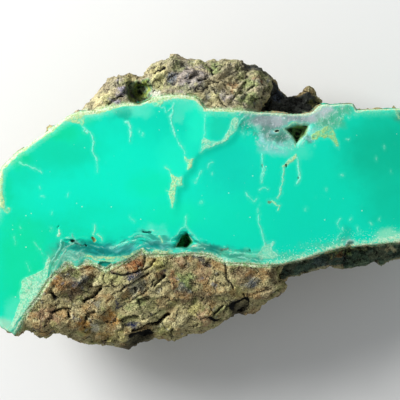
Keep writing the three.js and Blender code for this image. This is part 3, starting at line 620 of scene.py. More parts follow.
# Where the pale crust and the layered seam lie in the face.
crustZone = rounded([
    (4.2, 24), (10.2, 24), (20.5, 24), (26, 25.5), (34.5, 26), (34.8, 22.2), (31.8, 21.2), (30.5, 19.4),
    (29.8, 17.9), (28, 18.4), (25, 16.9), (21.5, 13.9), (18, 12.4), (14.2, 12.2), (10, 13.9), (7, 17.4),
    (5.2, 19.2), (4.5, 20.9),
], True)
seamZone = rounded([
    (-40.2, -10.8), (-38, -8.6), (-35.5, -8.8), (-30.8, -10.3), (-27, -10.3), (-22, -9.1), (-19.5, -6.6),
    (-17, -6.6), (-14.5, -7.6), (-12, -9.3), (-9.5, -8.1), (-8, -6.1), (-6.5, -8.6), (-3.2, -10.3),
    (3, -11.8), (9.5, -12.3), (11.5, -14.1), (10, -16.6), (1, -16.1), (-4.5, -14.3), (-17, -14.3),
    (-24.5, -15.3), (-30.8, -15.1), (-39.5, -16.6), (-42.5, -20.6), (-44.5, -24.6), (-48.2, -29.6),
    (-51.5, -33.6), (-52.8, -32.6), (-50, -28.6), (-47, -24.6), (-43.5, -18.6), (-41.5, -13.6),
], True)
# Soft clouds of colour in the green stone, each laid over those before it: its colour and strength, its
# middle and its half sizes.
faceClouds = [
    # the left lobe, brightest in its middle and greener towards its edges
    (brightTurquoise, 1, (-23.2, 6.7), (18.8, 12)), (hotMint, 0.8, (-5, 19.4), (3.5, 7.5)),
    (hotMint, 0.5, (-10.5, 10.4), (5, 7)), (edgeGreen, 0.9, (-39.5, 13.4), (11.2, 6.5)),
    (edgeGreen, 0.6, (-50.8, 4.2), (7, 8.5)), (lowGreen, 0.9, (-49, -15.1), (8.5, 15.5)),
    (lowGreen, 0.35, (-34.5, -5.8), (12.5, 6)), (brightTurquoise, 0.6, (-41.5, 0.4), (10.5, 5.5)),
    (brightTurquoise, 0.5, (-28.2, -5.1), (7.5, 3)), (coreGreen, 0.5, (-16.5, 3.9), (6.5, 4)),
    (coreGreen, 0.5, (-10.8, -3.3), (10, 4)), (coreGreen, 0.35, (-52, 10.4), (5, 3)),
    (coreGreen, 0.4, (-38, 16.9), (5.5, 2.5)), (dullTeal, 0.7, (-24, 22.2), (3, 2.2)),
    (paleMint, 0.45, (-19.5, 22.4), (3.5, 1.8)), (paleMint, 0.4, (-33.5, 20.9), (2.5, 1.5)),
    (paleMint, 0.35, (-8.5, 23.7), (2.2, 1.8)), (dullTeal, 0.5, (-23.8, 21.8), (2.2, 1.6)),
    (paleMint, 0.35, (-10, 21.2), (1.8, 1.5)),
    # greener inside the rim
    (rimGreen, 0.6, (-49, 10.4), (3.5, 2.25)), (rimGreen, 0.55, (-40, 17.4), (6.5, 2.25)),
    (rimGreen, 0.4, (-33.5, 20.2), (4, 1.25)), (rimGreen, 0.35, (-53, 2.9), (1.75, 5.5)),
    # the right lobe
    (ledgeGreen, 0.7, (3, 9.2), (8.5, 7.5)), (rightTurquoise, 0.8, (5.5, -5.1), (11, 6.5)),
    (rightTurquoise, 0.5, (25.5, 2.9), (15, 8.8)), (endGreen, 0.9, (41.8, 12.9), (12, 11)),
    (endGreen, 0.6, (44.2, -0.8), (9, 7.5)), (dullTeal, 0.55, (6.8, 19.9), (4, 3.5)),
    (lobeGreen, 0.7, (-0.2, 18.9), (3, 3.2)),
    # the stain at the right end
    (stainOlive, 0.75, (46, 22.7), (2.5, 2.5)), (yellowOlive, 0.4, (45, 23.2), (1, 1.5)),
    # the crust under the upper edge
    (lilacGrey, 0.95, (17, 22.2), (10, 2.25)), (lilacGrey, 0.75, (13, 18.7), (4.25, 3)),
    (greyTeal, 0.65, (15.2, 15.7), (5.5, 3)), (blueWhite, 0.4, (14.2, 12.9), (4.25, 1.75)),
    (whiteLilac, 0.5, (20.5, 20.9), (3, 1.5)), (dullTeal, 0.6, (7.2, 20.2), (2.75, 2.75)),
    (lilacGrey, 0.95, (14, 20.9), (6.75, 2)), (lilacGrey, 0.95, (21, 21.2), (5, 2.25)),
    (lilacGrey, 0.6, (11.2, 19.9), (3, 2)), (oliveGrey, 0.75, (16.5, 16.4), (4, 2.25)),
    (oliveGrey, 0.5, (12.5, 17.4), (3, 2.25)), (sage, 0.85, (27, 19.9), (3.25, 3)),
    (glassGreen, 0.8, (30, 20.9), (2.25, 3)), (whiteLilac, 0.9, (26, 22.9), (3.5, 1.75)),
    (whiteLilac, 0.7, (23.5, 21.2), (2, 2)), (seamMint, 0.7, (32.2, 23.4), (2.5, 1.5)),
    (blueWhite, 0.6, (22.5, 17.2), (2.5, 1.5)), (blueWhite, 0.5, (11, 15.4), (1.25, 1)),
    (blueWhite, 0.5, (13.5, 17.4), (1.25, 0.75)), (blueWhite, 0.45, (15.8, 14.4), (1.75, 0.75)),
    (paleMint, 0.4, (9.5, 18.7), (1.25, 1.5)), (paleMint, 0.4, (18.8, 14.7), (2.25, 1.25)),
    (paleMint, 0.3, (20.5, 12.9), (3.5, 2.25)), (glassGreen, 0.8, (31.2, 22.9), (2.2, 1.5)),
    (sage, 0.6, (32, 24.3), (2, 0.9)), (oliveGrey, 0.85, (22.2, 16.2), (0.8, 1.2)),
    (whiteLilac, 0.5, (14.8, 20.6), (2.2, 1.1)), (oliveGrey, 0.6, (16, 15.7), (3.5, 1.2)),
    (blueWhite, 0.4, (11.2, 15.4), (1.2, 1)), (oliveGrey, 0.9, (22, 16.7), (1.5, 1.8)),
    # the seam above the lower rock, and the lower edges of both lobes beyond it
    (dullTeal, 0.55, (32, -8.3), (2, 3)), (bandTeal, 0.5, (-29.5, -12.1), (11, 1.75)),
    (channelTeal, 0.6, (-1, -12.6), (5, 1.5)), (seamTeal, 0.55, (-30.5, -11.6), (8.5, 2.25)),
    (deepTeal, 0.7, (-33.8, -11.1), (3, 1)), (seamTeal, 0.9, (-28.5, -12.6), (3.5, 1.5)),
    (bandTeal, 0.75, (-21.5, -12.8), (4, 1.12)), (blueWhite, 0.3, (-23.5, -11.6), (3.75, 1)),
    (seamTeal, 0.85, (-15.5, -11.3), (4.5, 1.5)), (blueWhite, 0.4, (-14.5, -10.1), (3, 1)),
    (greyTeal, 0.5, (-10, -11.8), (3.5, 1)), (greyMint, 0.6, (-5.5, -11.3), (4, 1)),
    (seamTeal, 0.5, (-0.8, -12.1), (4.5, 1.25)), (deepTeal, 0.45, (-1.8, -11.6), (2.25, 0.75)),
    (seamMint, 0.8, (5, -13.8), (6.5, 1.75)), (sage, 0.6, (6.8, -14.6), (5.5, 1)),
    (greyMint, 0.3, (12.5, -12.6), (2, 2)), (sage, 0.4, (18, -13.6), (6.5, 1)),
    (sage, 0.35, (30.5, -11.1), (10, 1.25)), (paleMint, 0.45, (-17.5, -7.8), (2.5, 2.25)),
    (paleMint, 0.4, (-13.8, -8.1), (1.5, 2)), (oliveGrey, 0.6, (-35, -13.7), (4, 1.6)),
    (channelTeal, 0.5, (-40.2, -13.6), (2.5, 3.5)), (blueWhite, 0.3, (-44.5, -21.6), (1.75, 2.5)),
    (mintCream, 0.6, (-52.8, -31.1), (2.2, 2.5)), (paleMint, 0.35, (-51.2, -27.3), (2.2, 3.8)),
    (sage, 0.6, (-40.5, -15.3), (2.5, 3.2)), (deepTeal, 0.6, (-35.8, -10.7), (2.8, 1.1)),
    (sage, 0.35, (39.5, -11.6), (6, 0.5)), (mintCream, 0.45, (42.8, -8.8), (3.8, 2.2)),
    (greyTeal, 0.9, (32.9, -10.8), (1.6, 1.2)), (oliveGrey, 0.5, (0.4, -13.3), (1.6, 0.8)),
    (deepTeal, 0.35, (-26, -13.6), (4, 1.5)), (greyMint, 0.5, (-53.5, -30.8), (2, 2)),
]
# The same for the rocks.
rockClouds = [
    # lower rock: brown, ochre and olive zones with a few blue ones
    (creamRock, 0.35, (-17, -25.2), (7.5, 6.9)), (redBrown, 0.7, (-42.6, -29.2), (3.6, 3.4)),
    (creamRock, 0.5, (-37, -27.1), (2.5, 2.5)), (oliveBrown, 0.9, (-38.4, -17.3), (2.1, 2.2)),
    (orangeBrown, 0.9, (-39.9, -20.3), (2.1, 2.2)), (orangeBrown, 0.85, (-32.4, -16.8), (2.1, 2)),
    (darkBrown, 0.7, (-36, -21.3), (4.5, 2.8)), (slateBlue, 0.9, (-34.5, -19.6), (3, 2)),
    (shadeBrown, 0.9, (-37.5, -17.9), (3, 2.6)), (shadeBrown, 0.75, (-32.8, -19.3), (2.8, 2.8)),
    (darkBrown, 0.5, (-22, -15.3), (2, 1.2)), (creamRock, 0.9, (-30.2, -19.9), (1.2, 2.1)),
    (shadeBrown, 0.5, (-33.5, -16.8), (3, 1.8)), (greyBrown, 0.5, (-36.2, -23.3), (2.8, 1.8)),
    (darkBrown, 0.5, (-31.8, -22.6), (1.8, 1.5)), (ochre, 0.85, (-26.5, -29.1), (2.5, 2.5)),
    (ochre, 0.85, (-33.6, -31.3), (2.1, 2.5)), (orangeBrown, 0.6, (-29.8, -34.3), (1.8, 1.2)),
    (whiteRock, 0.5, (-31.5, -31.6), (1, 1.5)), (yellowOlive, 0.6, (-26.5, -34.4), (3.5, 1.9)),
    (rust, 0.95, (-20.8, -15.8), (2.5, 2.2)), (rust, 0.6, (-25.8, -17.6), (1.8, 1)),
    (orangeBrown, 0.5, (-16.2, -15.1), (1.2, 1)), (yellowOlive, 0.75, (-14.5, -16.1), (2, 2)),
    (navy, 0.95, (-25, -17.9), (2.5, 0.9)), (navy, 0.98, (-20.5, -18.7), (2.5, 1.1)),
    (navy, 0.9, (-13.9, -17.6), (1.1, 1.2)), (navy, 1, (-21.6, -31.2), (1.7, 1.5)),
    (navy, 0.9, (-25.2, -25.3), (0.8, 0.8)), (navy, 0.8, (-5.1, -14.2), (1.6, 0.9)),
    (navy, 0.75, (-3.2, -15.8), (1.8, 0.8)), (slateBlue, 0.7, (-20.2, -21.8), (2.2, 1.8)),
    (slateBlue, 0.5, (-30.5, -25.6), (1, 1)), (greenOlive, 0.6, (-20.8, -25.6), (3.8, 2)),
    (rust, 0.6, (-11, -19.6), (1.5, 2.5)), (redBrown, 0.7, (-9.2, -14.3), (2.2, 1.8)),
    (redBrown, 0.55, (-4, -18.1), (3, 2.5)), (greenOlive, 0.85, (-8.4, -19.6), (1.9, 2.5)),
    (slateBlue, 0.5, (-8.8, -21.8), (1.8, 1.2)), (orangeBrown, 0.6, (-13, -25.8), (3.5, 3.2)),
    (darkBrown, 0.75, (-5.2, -24.3), (4.8, 2.2)), (yellowOlive, 0.55, (-5.8, -27.1), (2.8, 1)),
    (redBrown, 0.6, (-3.2, -29.3), (2.2, 2.8)), (creamRock, 0.6, (-10.2, -30.3), (2.2, 2.2)),
    (greenOlive, 0.4, (-14.8, -28.8), (2.2, 1.8)), (darkBrown, 0.8, (6, -17.1), (3.5, 2)),
    (redBrown, 0.6, (5, -19.8), (2, 1.2)), (slateBlue, 0.8, (8, -20.4), (1.8, 1.6)),
    (yellowOlive, 0.85, (4.6, -22.1), (2.1, 2)), (darkBrown, 0.7, (13.2, -17.9), (2.2, 1.9)),
    (greyBrown, 0.5, (13, -22.8), (3.5, 2.2)), (creamRock, 0.6, (13.2, -15.8), (3.2, 0.8)),
    (creamRock, 0.5, (14, -21.1), (2.5, 1)), (yellowOlive, 0.5, (-13.8, -32.8), (3.2, 1.2)),
    (greenOlive, 0.5, (-0.8, -28.3), (2.2, 2.2)), (creamRock, 0.3, (-13.5, -27.3), (3.5, 3.2)),
    (creamRock, 0.25, (4.8, -21.3), (3.8, 2.8)), (creamRock, 0.2, (-20.2, -21.3), (3.2, 2.8)),
    # upper rock: cream and lilac at the left, grey-brown in the middle, green at the right
    (creamRock, 0.7, (-29, 24.9), (3, 3.5)), (yellowOlive, 0.35, (-28, 24.4), (2.5, 1.5)),
    (lilacRock, 0.85, (-24, 28.2), (1.8, 2.2)), (lilacRock, 0.8, (-26, 24.7), (1.5, 1.2)),
    (yellowOlive, 0.5, (-22, 30.9), (2, 1.5)), (creamRock, 0.75, (-15.2, 31.4), (2.8, 4)),
    (yellowOlive, 0.4, (-15, 33.2), (2, 1.2)), (whiteRock, 0.75, (-15.2, 27.4), (1.8, 1.5)),
    (slateBlue, 0.8, (-12, 30.9), (1.2, 2)), (lilacRock, 0.45, (-7.2, 31.7), (4.2, 4.8)),
    (greenOlive, 0.85, (-0.8, 33.7), (2.5, 1.8)), (greenOlive, 0.6, (-10.2, 33.9), (1.8, 1.5)),
    (creamRock, 0.6, (-5.5, 34.7), (2, 1.2)), (rust, 0.9, (3.6, 28.9), (0.9, 1.5)),
    (greenOlive, 0.8, (7.2, 29.7), (2.2, 1.8)), (whiteRock, 0.6, (-2.4, 25.7), (1.4, 1.8)),
    (creamRock, 0.85, (-1, 25.2), (2.5, 1.8)), (lilacRock, 0.5, (1.8, 26.7), (2.2, 1.8)),
    (greenOlive, 0.8, (7, 25.7), (3.5, 1.8)), (navy, 0.5, (6.5, 26.7), (1.5, 0.8)),
    (creamRock, 0.5, (3, 35.2), (2, 1.2)), (orangeRock, 0.7, (10.5, 30.9), (1, 1.5)),
    # the dark spot at the upper rock's right end is painted shade on its side that slopes away from the
    # light
    (shadowRock, 0.95, (6.9, 34.9), (1.6, 1.5)), (yellowOlive, 0.4, (-7, 26.2), (3.5, 0.8)),
    (creamRock, 0.3, (1.2, 28.7), (6.2, 2.8)),
    # the rocks that stand lower, right of the upper one and under the right lobe
    # the dark cloud first in the next line is painted shade on the rock that stands lower
    (shadowRock, 0.7, (11.5, 32), (2.5, 1.8)), (slateBlue, 0.5, (15.5, 26.7), (1, 1.5)),
    (yellowOlive, 0.3, (25, 25.2), (1.5, 1.2)), (stripGreen, 0.5, (38.5, -14.6), (6, 1.8)),
    (slateBlue, 0.25, (26, -15.8), (2.5, 1)), (greenOlive, 0.8, (33, -12.1), (4.2, 0.6)),
    # the small white spot on the strip, second in the next line, is a painted highlight
    (orangeBrown, 0.6, (30.5, -13.2), (2.2, 0.5)), (whiteRock, 0.8, (22.5, -14.1), (1, 0.5)),
    (yellowOlive, 0.6, (27.5, -12.1), (3.5, 0.6)), (creamRock, 0.5, (38.5, -11.9), (2, 0.5)),
    (creamRock, 0.5, (43.5, -11.3), (2, 0.8)),
]
# Cracks in the rocks, from rows of half width, depth and points.
rockCracks = [makeMark(0.55 * half, crackAndShadeBlack, 1, points, depth=depth) for half, depth, *points in (
    # lower rock
    (0.5, 1.3, (-41.8, -22.6), (-41, -24.1), (-40.2, -24.3)),
    (0.5, 1.5, (-33.5, -25.1), (-32, -24.1), (-31, -23.1), (-29.5, -22.1)),
    (0.3, 1, (-32, -21.8), (-30.8, -21.4), (-29.2, -21.3)),
    (0.35, 1.2, (-41.2, -27.8), (-39.5, -27.1), (-38, -26.7), (-36.8, -26.6)),
    (0.7, 1.4, (-37.5, -27.6), (-37.2, -28.6)),
    (0.42, 1.3, (-15.8, -14.6), (-17.2, -16.6), (-18.5, -17.3), (-20.5, -17.8), (-22.2, -18.1),
     (-24.5, -18.1), (-26.2, -17.9)),
    (0.4, 1.1, (-17.5, -18.1), (-20, -19.8), (-21.8, -20.8), (-24.2, -22.3)),
    (0.45, 1.2, (-13.5, -18.6), (-15, -20.1), (-16, -21.3)),
    (0.6, 1.7, (-21.2, -32.6), (-18.2, -31.7), (-15.2, -30.8), (-14.2, -29.6), (-12.5, -28.4)),
    (0.32, 0.9, (1, -13.8), (2, -15.6), (1.9, -17.1), (2, -18.6), (2.8, -19.8), (3.8, -21.6)),
    (0.25, 0.8, (-18.8, -12.1), (-18.2, -13.6), (-18.2, -15.1), (-19, -16.8)),
    (0.3, 0.9, (6, -23.1), (6.8, -24.6)), (0.45, 1.2, (-1.5, -29.6), (-0.2, -27.6), (1.2, -26.3)),
    (0.45, 1.2, (15.8, -15.3), (15.1, -17.6), (15.5, -19.8)),
    (0.3, 0.8, (-11.5, -32.1), (-12, -34.1), (-10.5, -35.3)),
    (0.22, 0.6, (-21.8, -24.6), (-19.5, -23.6), (-17, -21.6), (-15.8, -19.8)),
    (0.22, 0.6, (-28.2, -20.6), (-28.8, -19.1), (-28, -17.6)),
    (0.22, 0.6, (-14.5, -27.6), (-17, -28.8), (-18.8, -29.8)),
    # hollows at its outer edge, sunk and painted black as their shade
    (2.3, 1.6, (4, -26.6), (5.6, -26), (7, -25.4)), (1, 1, (-2.2, -29.6), (-0.8, -30.4), (0.8, -30.2)),
    (2, 1.5, (-21.4, -34.4), (-19, -33.8), (-16.8, -34.2)),
    # upper rock
    (0.42, 1.2, (-2.2, 34.9), (-1.8, 33.2), (-1.4, 32.1)),
    (0.32, 1, (-1.4, 32.1), (0.2, 32.7), (1.5, 33.9)), (0.28, 0.8, (-5, 30.2), (-3.2, 30.7)),
    (0.3, 0.9, (5, 28.4), (6.2, 28.8)), (0.34, 1, (6.8, 27.9), (8.2, 28.4), (9, 29.2)),
    (0.28, 0.8, (6, 29.4), (7, 30.3)), (0.24, 0.7, (0.2, 25.9), (0.8, 24.7), (2, 23.9)),
    (0.24, 0.7, (-1.2, 23.4), (-0.2, 23.7), (0.5, 24.6)), (0.3, 0.9, (-15.2, 29.2), (-13.8, 29.9)),
    (0.3, 0.8, (-11.2, 29.4), (-10, 30.2)), (0.5, 1, (-16, 32.7), (-14.8, 33.4), (-13.2, 33.9)),
    (0.4, 1, (-22, 31.9), (-21, 30.7), (-22, 29.4)),
    (0.3, 0.8, (-26.2, 25.2), (-25, 26.2), (-23.5, 26.4)),
    (0.22, 0.6, (-2.2, 29.9), (-1.5, 28.2), (-0.5, 26.7)), (0.4, 0.9, (9.5, 25.3), (11.2, 26.1)),
    (0.22, 0.6, (2.8, 31.7), (4.5, 32.9), (5.5, 33.9)),
)]


# Distance to the nearest mark, negative inside it, with that mark's colour and strength, and its depth.
def nearestMark(marks, x, y, far=3.0):
    near, colour, depth = np.full(len(x), far), np.zeros((len(x), 4)), np.zeros(len(x))
    for mark in marks:
        corners = np.array(mark["points"])
        low, high = corners.min(axis=0) - far, corners.max(axis=0) + far
        close = np.flatnonzero((x > low[0]) & (x < high[0]) & (y > low[1]) & (y < high[1]))
        if mark["closed"]:
            d = outlineDistance(mark["points"], x[close], y[close])
        else:
            d = lineDistance(mark["points"], x[close], y[close]) - mark["half"]
        nearer = d < near[close]
        close, d = close[nearer], d[nearer]
        near[close] = d
        colour[close] = (*linear(mark["colour"]), mark["strength"])
        if mark["depth"]:
            depth[close] = mark["depth"] * smoothStep(mark["half"], -mark["half"], d)
    return near, colour, depth


# Lays soft round clouds over a base colour.
def cloudColour(colour, clouds, x, y, soft):
    for tint, strength, at, half in clouds:
        reach = np.hypot((x - at[0]) / half[0], (y - at[1]) / half[1])
        colour = blend(colour, tint, strength * smoothStep(0.85 + soft, 0.85 - soft, reach))
    return colour


# One broken chip of rock: a tilted flat with a step down to its neighbours and a gap round it. It also
# gives a shade of its own to each chip.
def chip(place, size):
    place = place / size
    near, middles = noise.voronoi(place)
    turn = noise.cell_vector(middles[0] * 37)
    tilt = (place - middles[0]).dot(turn - Vector((0.5, 0.5, 0.5))) * 1.7
    gap = max(0.09 - (near[1] - near[0]), 0) / 0.09
    return size * (tilt + 0.4 * (turn.z - 0.5) - 0.07 * gap), turn.x


# The relief of broken rock, in which chips lie along the ledges and grains on the chips, and its shades.
def rockRelief(p):
    heights, shades = np.empty(len(p)), np.empty(len(p))
    for n, (x, y, z) in enumerate(p.tolist()):
        u, v = 0.87 * x + 0.5 * y, 0.87 * y - 0.5 * x
        bend = 0.8 * noise.noise(Vector((x, y, z)) * 0.35)
        place = Vector((0.62 * u + bend, v - bend, z))
        large, largeShade = chip(place, 3.4)
        small, smallShade = chip(place + Vector((9, 4, 2)), 1.3)
        heights[n] = stone["chipDepth"] * (0.7 * large + 0.55 * small + 0.5 * noise.noise(place * 0.5))
        heights[n] += stone["grainDepth"] * (noise.noise(Vector((x, y, z)) * 2.1)
                                             + 0.7 * noise.noise(Vector((x, y, z)) * 4.5))
        shades[n] = 0.35 * largeShade + 0.65 * smallShade
    return heights, shades


def shapeStone():
    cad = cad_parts["variscite_stone"].data
    p = np.empty(len(cad.vertices) * 3, np.float32)
    cad.vertices.foreach_get("co", p)
    p = p.reshape(-1, 3).astype(float) / mm
    cad.calc_loop_triangles()
    faces = np.empty(len(cad.loop_triangles) * 3, np.int32)
    cad.loop_triangles.foreach_get("vertices", faces)
    # corners that the import split for shading are put back together
    corners = np.round(p * 1000).astype(int)
    first, merged = np.unique(corners, axis=0, return_index=True, return_inverse=True)[1:]
    p, faces = p[first], merged.ravel()[faces].reshape(-1, 3).astype(np.int64)
    p = settle(p, 4)
    for turn in range(stone["splits"]):
        up = vertexNormals(p, faces)[:, 2]
        edge = onPlan(p[:, 0], p[:, 1])[0][:, 0]
        marks = nearestMark(paleMarks + darkMarks, p[:, 0], p[:, 1], 0.9)[0]
        top = np.where(edge > 0.4, stone["rockEdge"], stone["faceEdge"])
        top = np.where((np.abs(marks) < stone["markSide"]) & (edge < 0.3), stone["markEdge"], top)
        depth = np.clip((faceHeight - 1.5 - p[:, 2]) / 12, 0, 1)
        wallTop, wallLow = stone["wallEdges"]
        wall = wallTop + (wallLow - wallTop) * depth
        reach = np.where((up > 0.3) & (p[:, 2] > 14), top, wall)
        p, faces, count = splitEdges(p, faces, reach)
        edges = edgesOf(faces, len(p))[0]
        normals = vertexNormals(p, faces)
        pull = neighbourMean(p, edges) - p
        p = p + 0.5 * (pull - normals * (pull * normals).sum(axis=1, keepdims=True))
        p = settle(p)
        print("split", turn + 1, len(faces), "triangles")
        if not count:
            break
    return p, faces


noise.seed_set(stone["seed"])  # noise_vector would otherwise differ from run to run
points, faces = shapeStone()
edges = edgesOf(faces, len(points))[0]
normals = vertexNormals(points, faces)
px, py, pz = points.T
plan = onPlan(px, py)
veinEdge, upperEdge, shadedEdge, lowerEdge, stripEdge = plan[0].T
mouths = plan[-1].T
# slow and quick wandering, which keeps every border and mark from running too straight
wander = np.array([(*noise.noise_vector(Vector(q) * 0.5), *noise.noise_vector(Vector(q) * 1.7))
                   for q in points.tolist()])
wanderX, wanderY, wanderZ = (wander[:, :3] + 0.5 * wander[:, 3:]).T
markX, markY = px + 0.38 * wanderX, py + 0.38 * wanderY

# Where the stone is seen from above, and how far each point is outside the green vein. The walls of
# the vugs count as seen from above too.
topSide = smoothStep(0.15, 0.5, normals[:, 2]) * smoothStep(20, 26, pz)
topSide = np.maximum(topSide, smoothStep(-1.2, -2.2, veinEdge) * smoothStep(26, 29, pz))
rockAway = veinEdge + 0.25 * wanderZ * smoothStep(0, 0.5, np.abs(veinEdge))
# weathered rock closes over the lower half of the stone, but not over its broken right end
under = 0.3 * (21 - pz) + 2.4 * wanderY - 7 * smoothStep(40, 48, px)
farInside = -9
rockAway = np.maximum(rockAway + 1.3 * wanderZ * (1 - topSide), np.where(topSide < 0.9, under, farInside))
rockWeight = smoothStep(-0.1, 0.9, rockAway)
isRock = np.flatnonzero(rockWeight > 0)
level = pz < 0.02  # the resting patch stays flat

crackNear, crackDepth = nearestMark(rockCracks, markX, markY)[::2]
paleNear, paleColour = nearestMark(paleMarks, markX, markY)[:2]
darkNear, darkColour = nearestMark(darkMarks, markX, markY)[:2]

# Relief: chips on the rocks, softer ones on the vein's broken walls, raised growths and sunk dark marks.
relief, shade = np.zeros(len(points)), np.full(len(points), 0.5)
heights, shade[isRock] = rockRelief(points[isRock])
calm = 1 - 0.45 * smoothStep(1, -1, lowerEdge) * topSide  # the lower rock broke flatter
relief[isRock] = heights * rockWeight[isRock] * calm[isRock]
broken = (1 - rockWeight) * (1 - topSide) * smoothStep(faceHeight - 0.5, faceHeight - 2, pz)
brokenWall = np.flatnonzero(broken > 0)
relief[brokenWall] += 0.45 * rockRelief(points[brokenWall] * 0.7)[0] * broken[brokenWall]
growth = smoothStep(0.1, -0.3, paleNear) * paleColour[:, 3] * (1 - rockWeight) * topSide
relief += 0.12 * growth * wanderZ
isDark = smoothStep(0.5, 0.9, darkColour[:, 3])
relief -= 0.6 * smoothStep(0.1, -0.3, darkNear) * isDark * topSide * (1 - rockWeight)
relief[level] = 0
raised = relief - crackDepth * topSide * rockWeight
points = points + normals * raised[:, None]
points[:, 2] = np.where(level, 0, np.maximum(points[:, 2], 0.03))
smooth = raised[:, None]
for turn in range(8):
    smooth = neighbourMean(smooth, edges)
crest = raised - smooth[:, 0]  # how far a point stands above its surroundings
print("relief from", relief.min(), "to", relief.max())


def meshObject(name, p, faces):
    mesh = bpy.data.meshes.new(name)
    mesh.from_pydata((p * mm).tolist(), [], faces.tolist())
    mesh.polygons.foreach_set("use_smooth", np.ones(len(faces), bool))
    item = bpy.data.objects.new(name, mesh)
    bpy.context.scene.collection.objects.link(item)
    return item


def addNumbers(mesh, name, values):
    mesh.attributes.new(name, "FLOAT", "POINT").data.foreach_set("value", np.asarray(values, np.float32))


def addColours(mesh, name, values):
    if values.shape[1] == 3:
        values = np.concatenate([values, np.ones((len(values), 1))], axis=1)
    mesh.attributes.new(name, "FLOAT_COLOR", "POINT").data.foreach_set(
        "color", values.astype(np.float32).ravel())


stoneObject = meshObject("stone_looks", points, faces)

# Colour of the green stone, with the shade of the step between its two lobes.
ledge = lineDistance(ledgeLine, px, py, signed=True)
ledgeShade = smoothStep(-0.2, 0.3, ledge) * smoothStep(2.6, 0.2, ledge) * smoothStep(-6, 2, py)
faceTint = np.tile(linear(baseTurquoise), (len(px), 1))
faceTint = cloudColour(faceTint, faceClouds, px + 1.2 * wanderX, py + 1.2 * wanderY, soft=0.5)
faceTint = blend(faceTint, stepShade, 0.35 * ledgeShade * (1 - smoothStep(14, 17, py)))

# Colour of the rocks. The tops of the rock that stands lower and of the strip under the right lobe are
# painted dark as the shade they lie in, the strip's in dark teal.
rockPaintedShade = smoothStep(1.5, -0.5, shadedEdge) * smoothStep(29, 27, pz) * smoothStep(3, 9, px)
rockPaintedShade = np.maximum(rockPaintedShade, smoothStep(0.5, -0.5, shadedEdge) * smoothStep(0.5, 1.5, upperEdge))
strip = smoothStep(0.5, -0.3, stripEdge)
strip *= smoothStep(-0.2, 0.5 + 4 * (1 - topSide), lowerEdge + 0.6 * wanderY)
lowDown = 1 - smoothStep(0.1, 0.45, normals[:, 2] + 0.15 * wanderY)
lowDown *= 1 - 0.5 * smoothStep(13, 25, pz + 3 * wanderX)
rockPaintedShade, strip = (part * (1 - lowDown) * smoothStep(-0.3, 0.3, veinEdge) for part in (rockPaintedShade, strip))
inUpper = smoothStep(1, -1, upperEdge)
rockTint = blend(np.tile(linear(rockBase), (len(px), 1)), upperBase, inUpper)
rockTint = blend(rockTint, shadowRock, 0.95 * rockPaintedShade)
rockTint = blend(rockTint, stripTealAndShade, 0.9 * strip)
rockTint = cloudColour(rockTint, rockClouds, px + 1.7 * wanderX, py + 1.7 * wanderY, soft=0.32)
brownness = 1 - 0.75 * inUpper
rockPaintedShade = np.maximum(rockPaintedShade, 0.8 * strip)

# Zones along the edges: crumbs where rock meets the face, the crust, the haze inside the rim, specks.
contact = np.zeros(len(px))
for edge, share in ((upperEdge, 0.7), (shadedEdge, 0.45), (lowerEdge, 1), (stripEdge, 0.8)):
    contact = np.maximum(contact, share * smoothStep(1.6, 0.4, edge))
crust = smoothStep(1, -1.2, outlineDistance(crustZone, px, py) + 0.9 * wanderZ)
seam = smoothStep(0.7, -0.7, outlineDistance(seamZone, px, py) + 0.7 * wanderZ)
hazeAt, hazeStrength = (-57, -38, -30, -24, -16, -4, 0, 10), (0.9, 0.9, 1, 0.4, 1, 0.7, 0.6, 0.5)
rim = (1 - crust) * np.interp(px, hazeAt, hazeStrength) * smoothStep(-8, 0, py)
specks = smoothStep(5, 0.5, -veinEdge) * smoothStep(8, 15, px) * smoothStep(0, -4, py)
specks *= 1 + smoothStep(38, 44, px)
rind = smoothStep(0.5, 0, normals[:, 2]) * (1 - 0.6 * smoothStep(40, 46, px))
rind *= 1 - 0.9 * smoothStep(33, 35, pz) * smoothStep(22, 27, px)

# The hollow in the upper rock, the two open vugs and the two recesses, with painted light and shade inside
# them.
hollow = smoothStep(1.15, 0.9, np.linalg.norm((points - pits[0][0]) / pits[0][1], axis=1) + 0.2 * wanderX)
# the upper hollow's own olive, raised in brightness as painted light
faceTint = blend(faceTint, litHollowGreen, hollow)
for mouth, colour in zip(mouths, (mossGreen, vugGreen)):
    inside = smoothStep(0.1, -0.5, mouth) * smoothStep(35.6, 34.6, pz)
    faceTint = blend(faceTint, colour, inside)
    hollow = np.maximum(hollow, inside)
    shade = np.where(inside > 0, 1, shade)
# In the upper hollow the right and upper side is painted lit and the rest painted as shade; the open vugs
# count as lit.
upperHollow = (hollow > 0) & (px < 0) & (py > 20)
shade = np.where(upperHollow, smoothStep(-22, -18.5, px + 0.6 * (py - 28) + wanderY), shade)
# painted shade in the two recesses at the lower rock's edge, strongest in their upper part
for mouth in mouths[2:]:
    inside = smoothStep(0.4, -0.8, mouth + 0.8 * wanderX) * smoothStep(34, 31.5, pz)
    inside *= 0.6 + 0.4 * smoothStep(17, 25, pz + 3 * wanderY)
    rockTint = blend(rockTint, recessShade, 0.85 * inside)
    rockPaintedShade = np.maximum(rockPaintedShade, 0.9 * inside)

# Grains keep out of the cracks, the hollows and the lowest edge, and are sparse on the sides.
grainAmount = rockWeight * (1 - smoothStep(-0.3, -0.1, -crackNear) * topSide) * (1 - hollow)
grainAmount *= np.maximum(smoothStep(0.5, 1.5, veinEdge), smoothStep(30, 24, pz))
grainAmount *= np.where(topSide > 0.5, 1, 0.3) * smoothStep(0.8, 2, pz) * smoothStep(0.2, 0.6, rockAway)

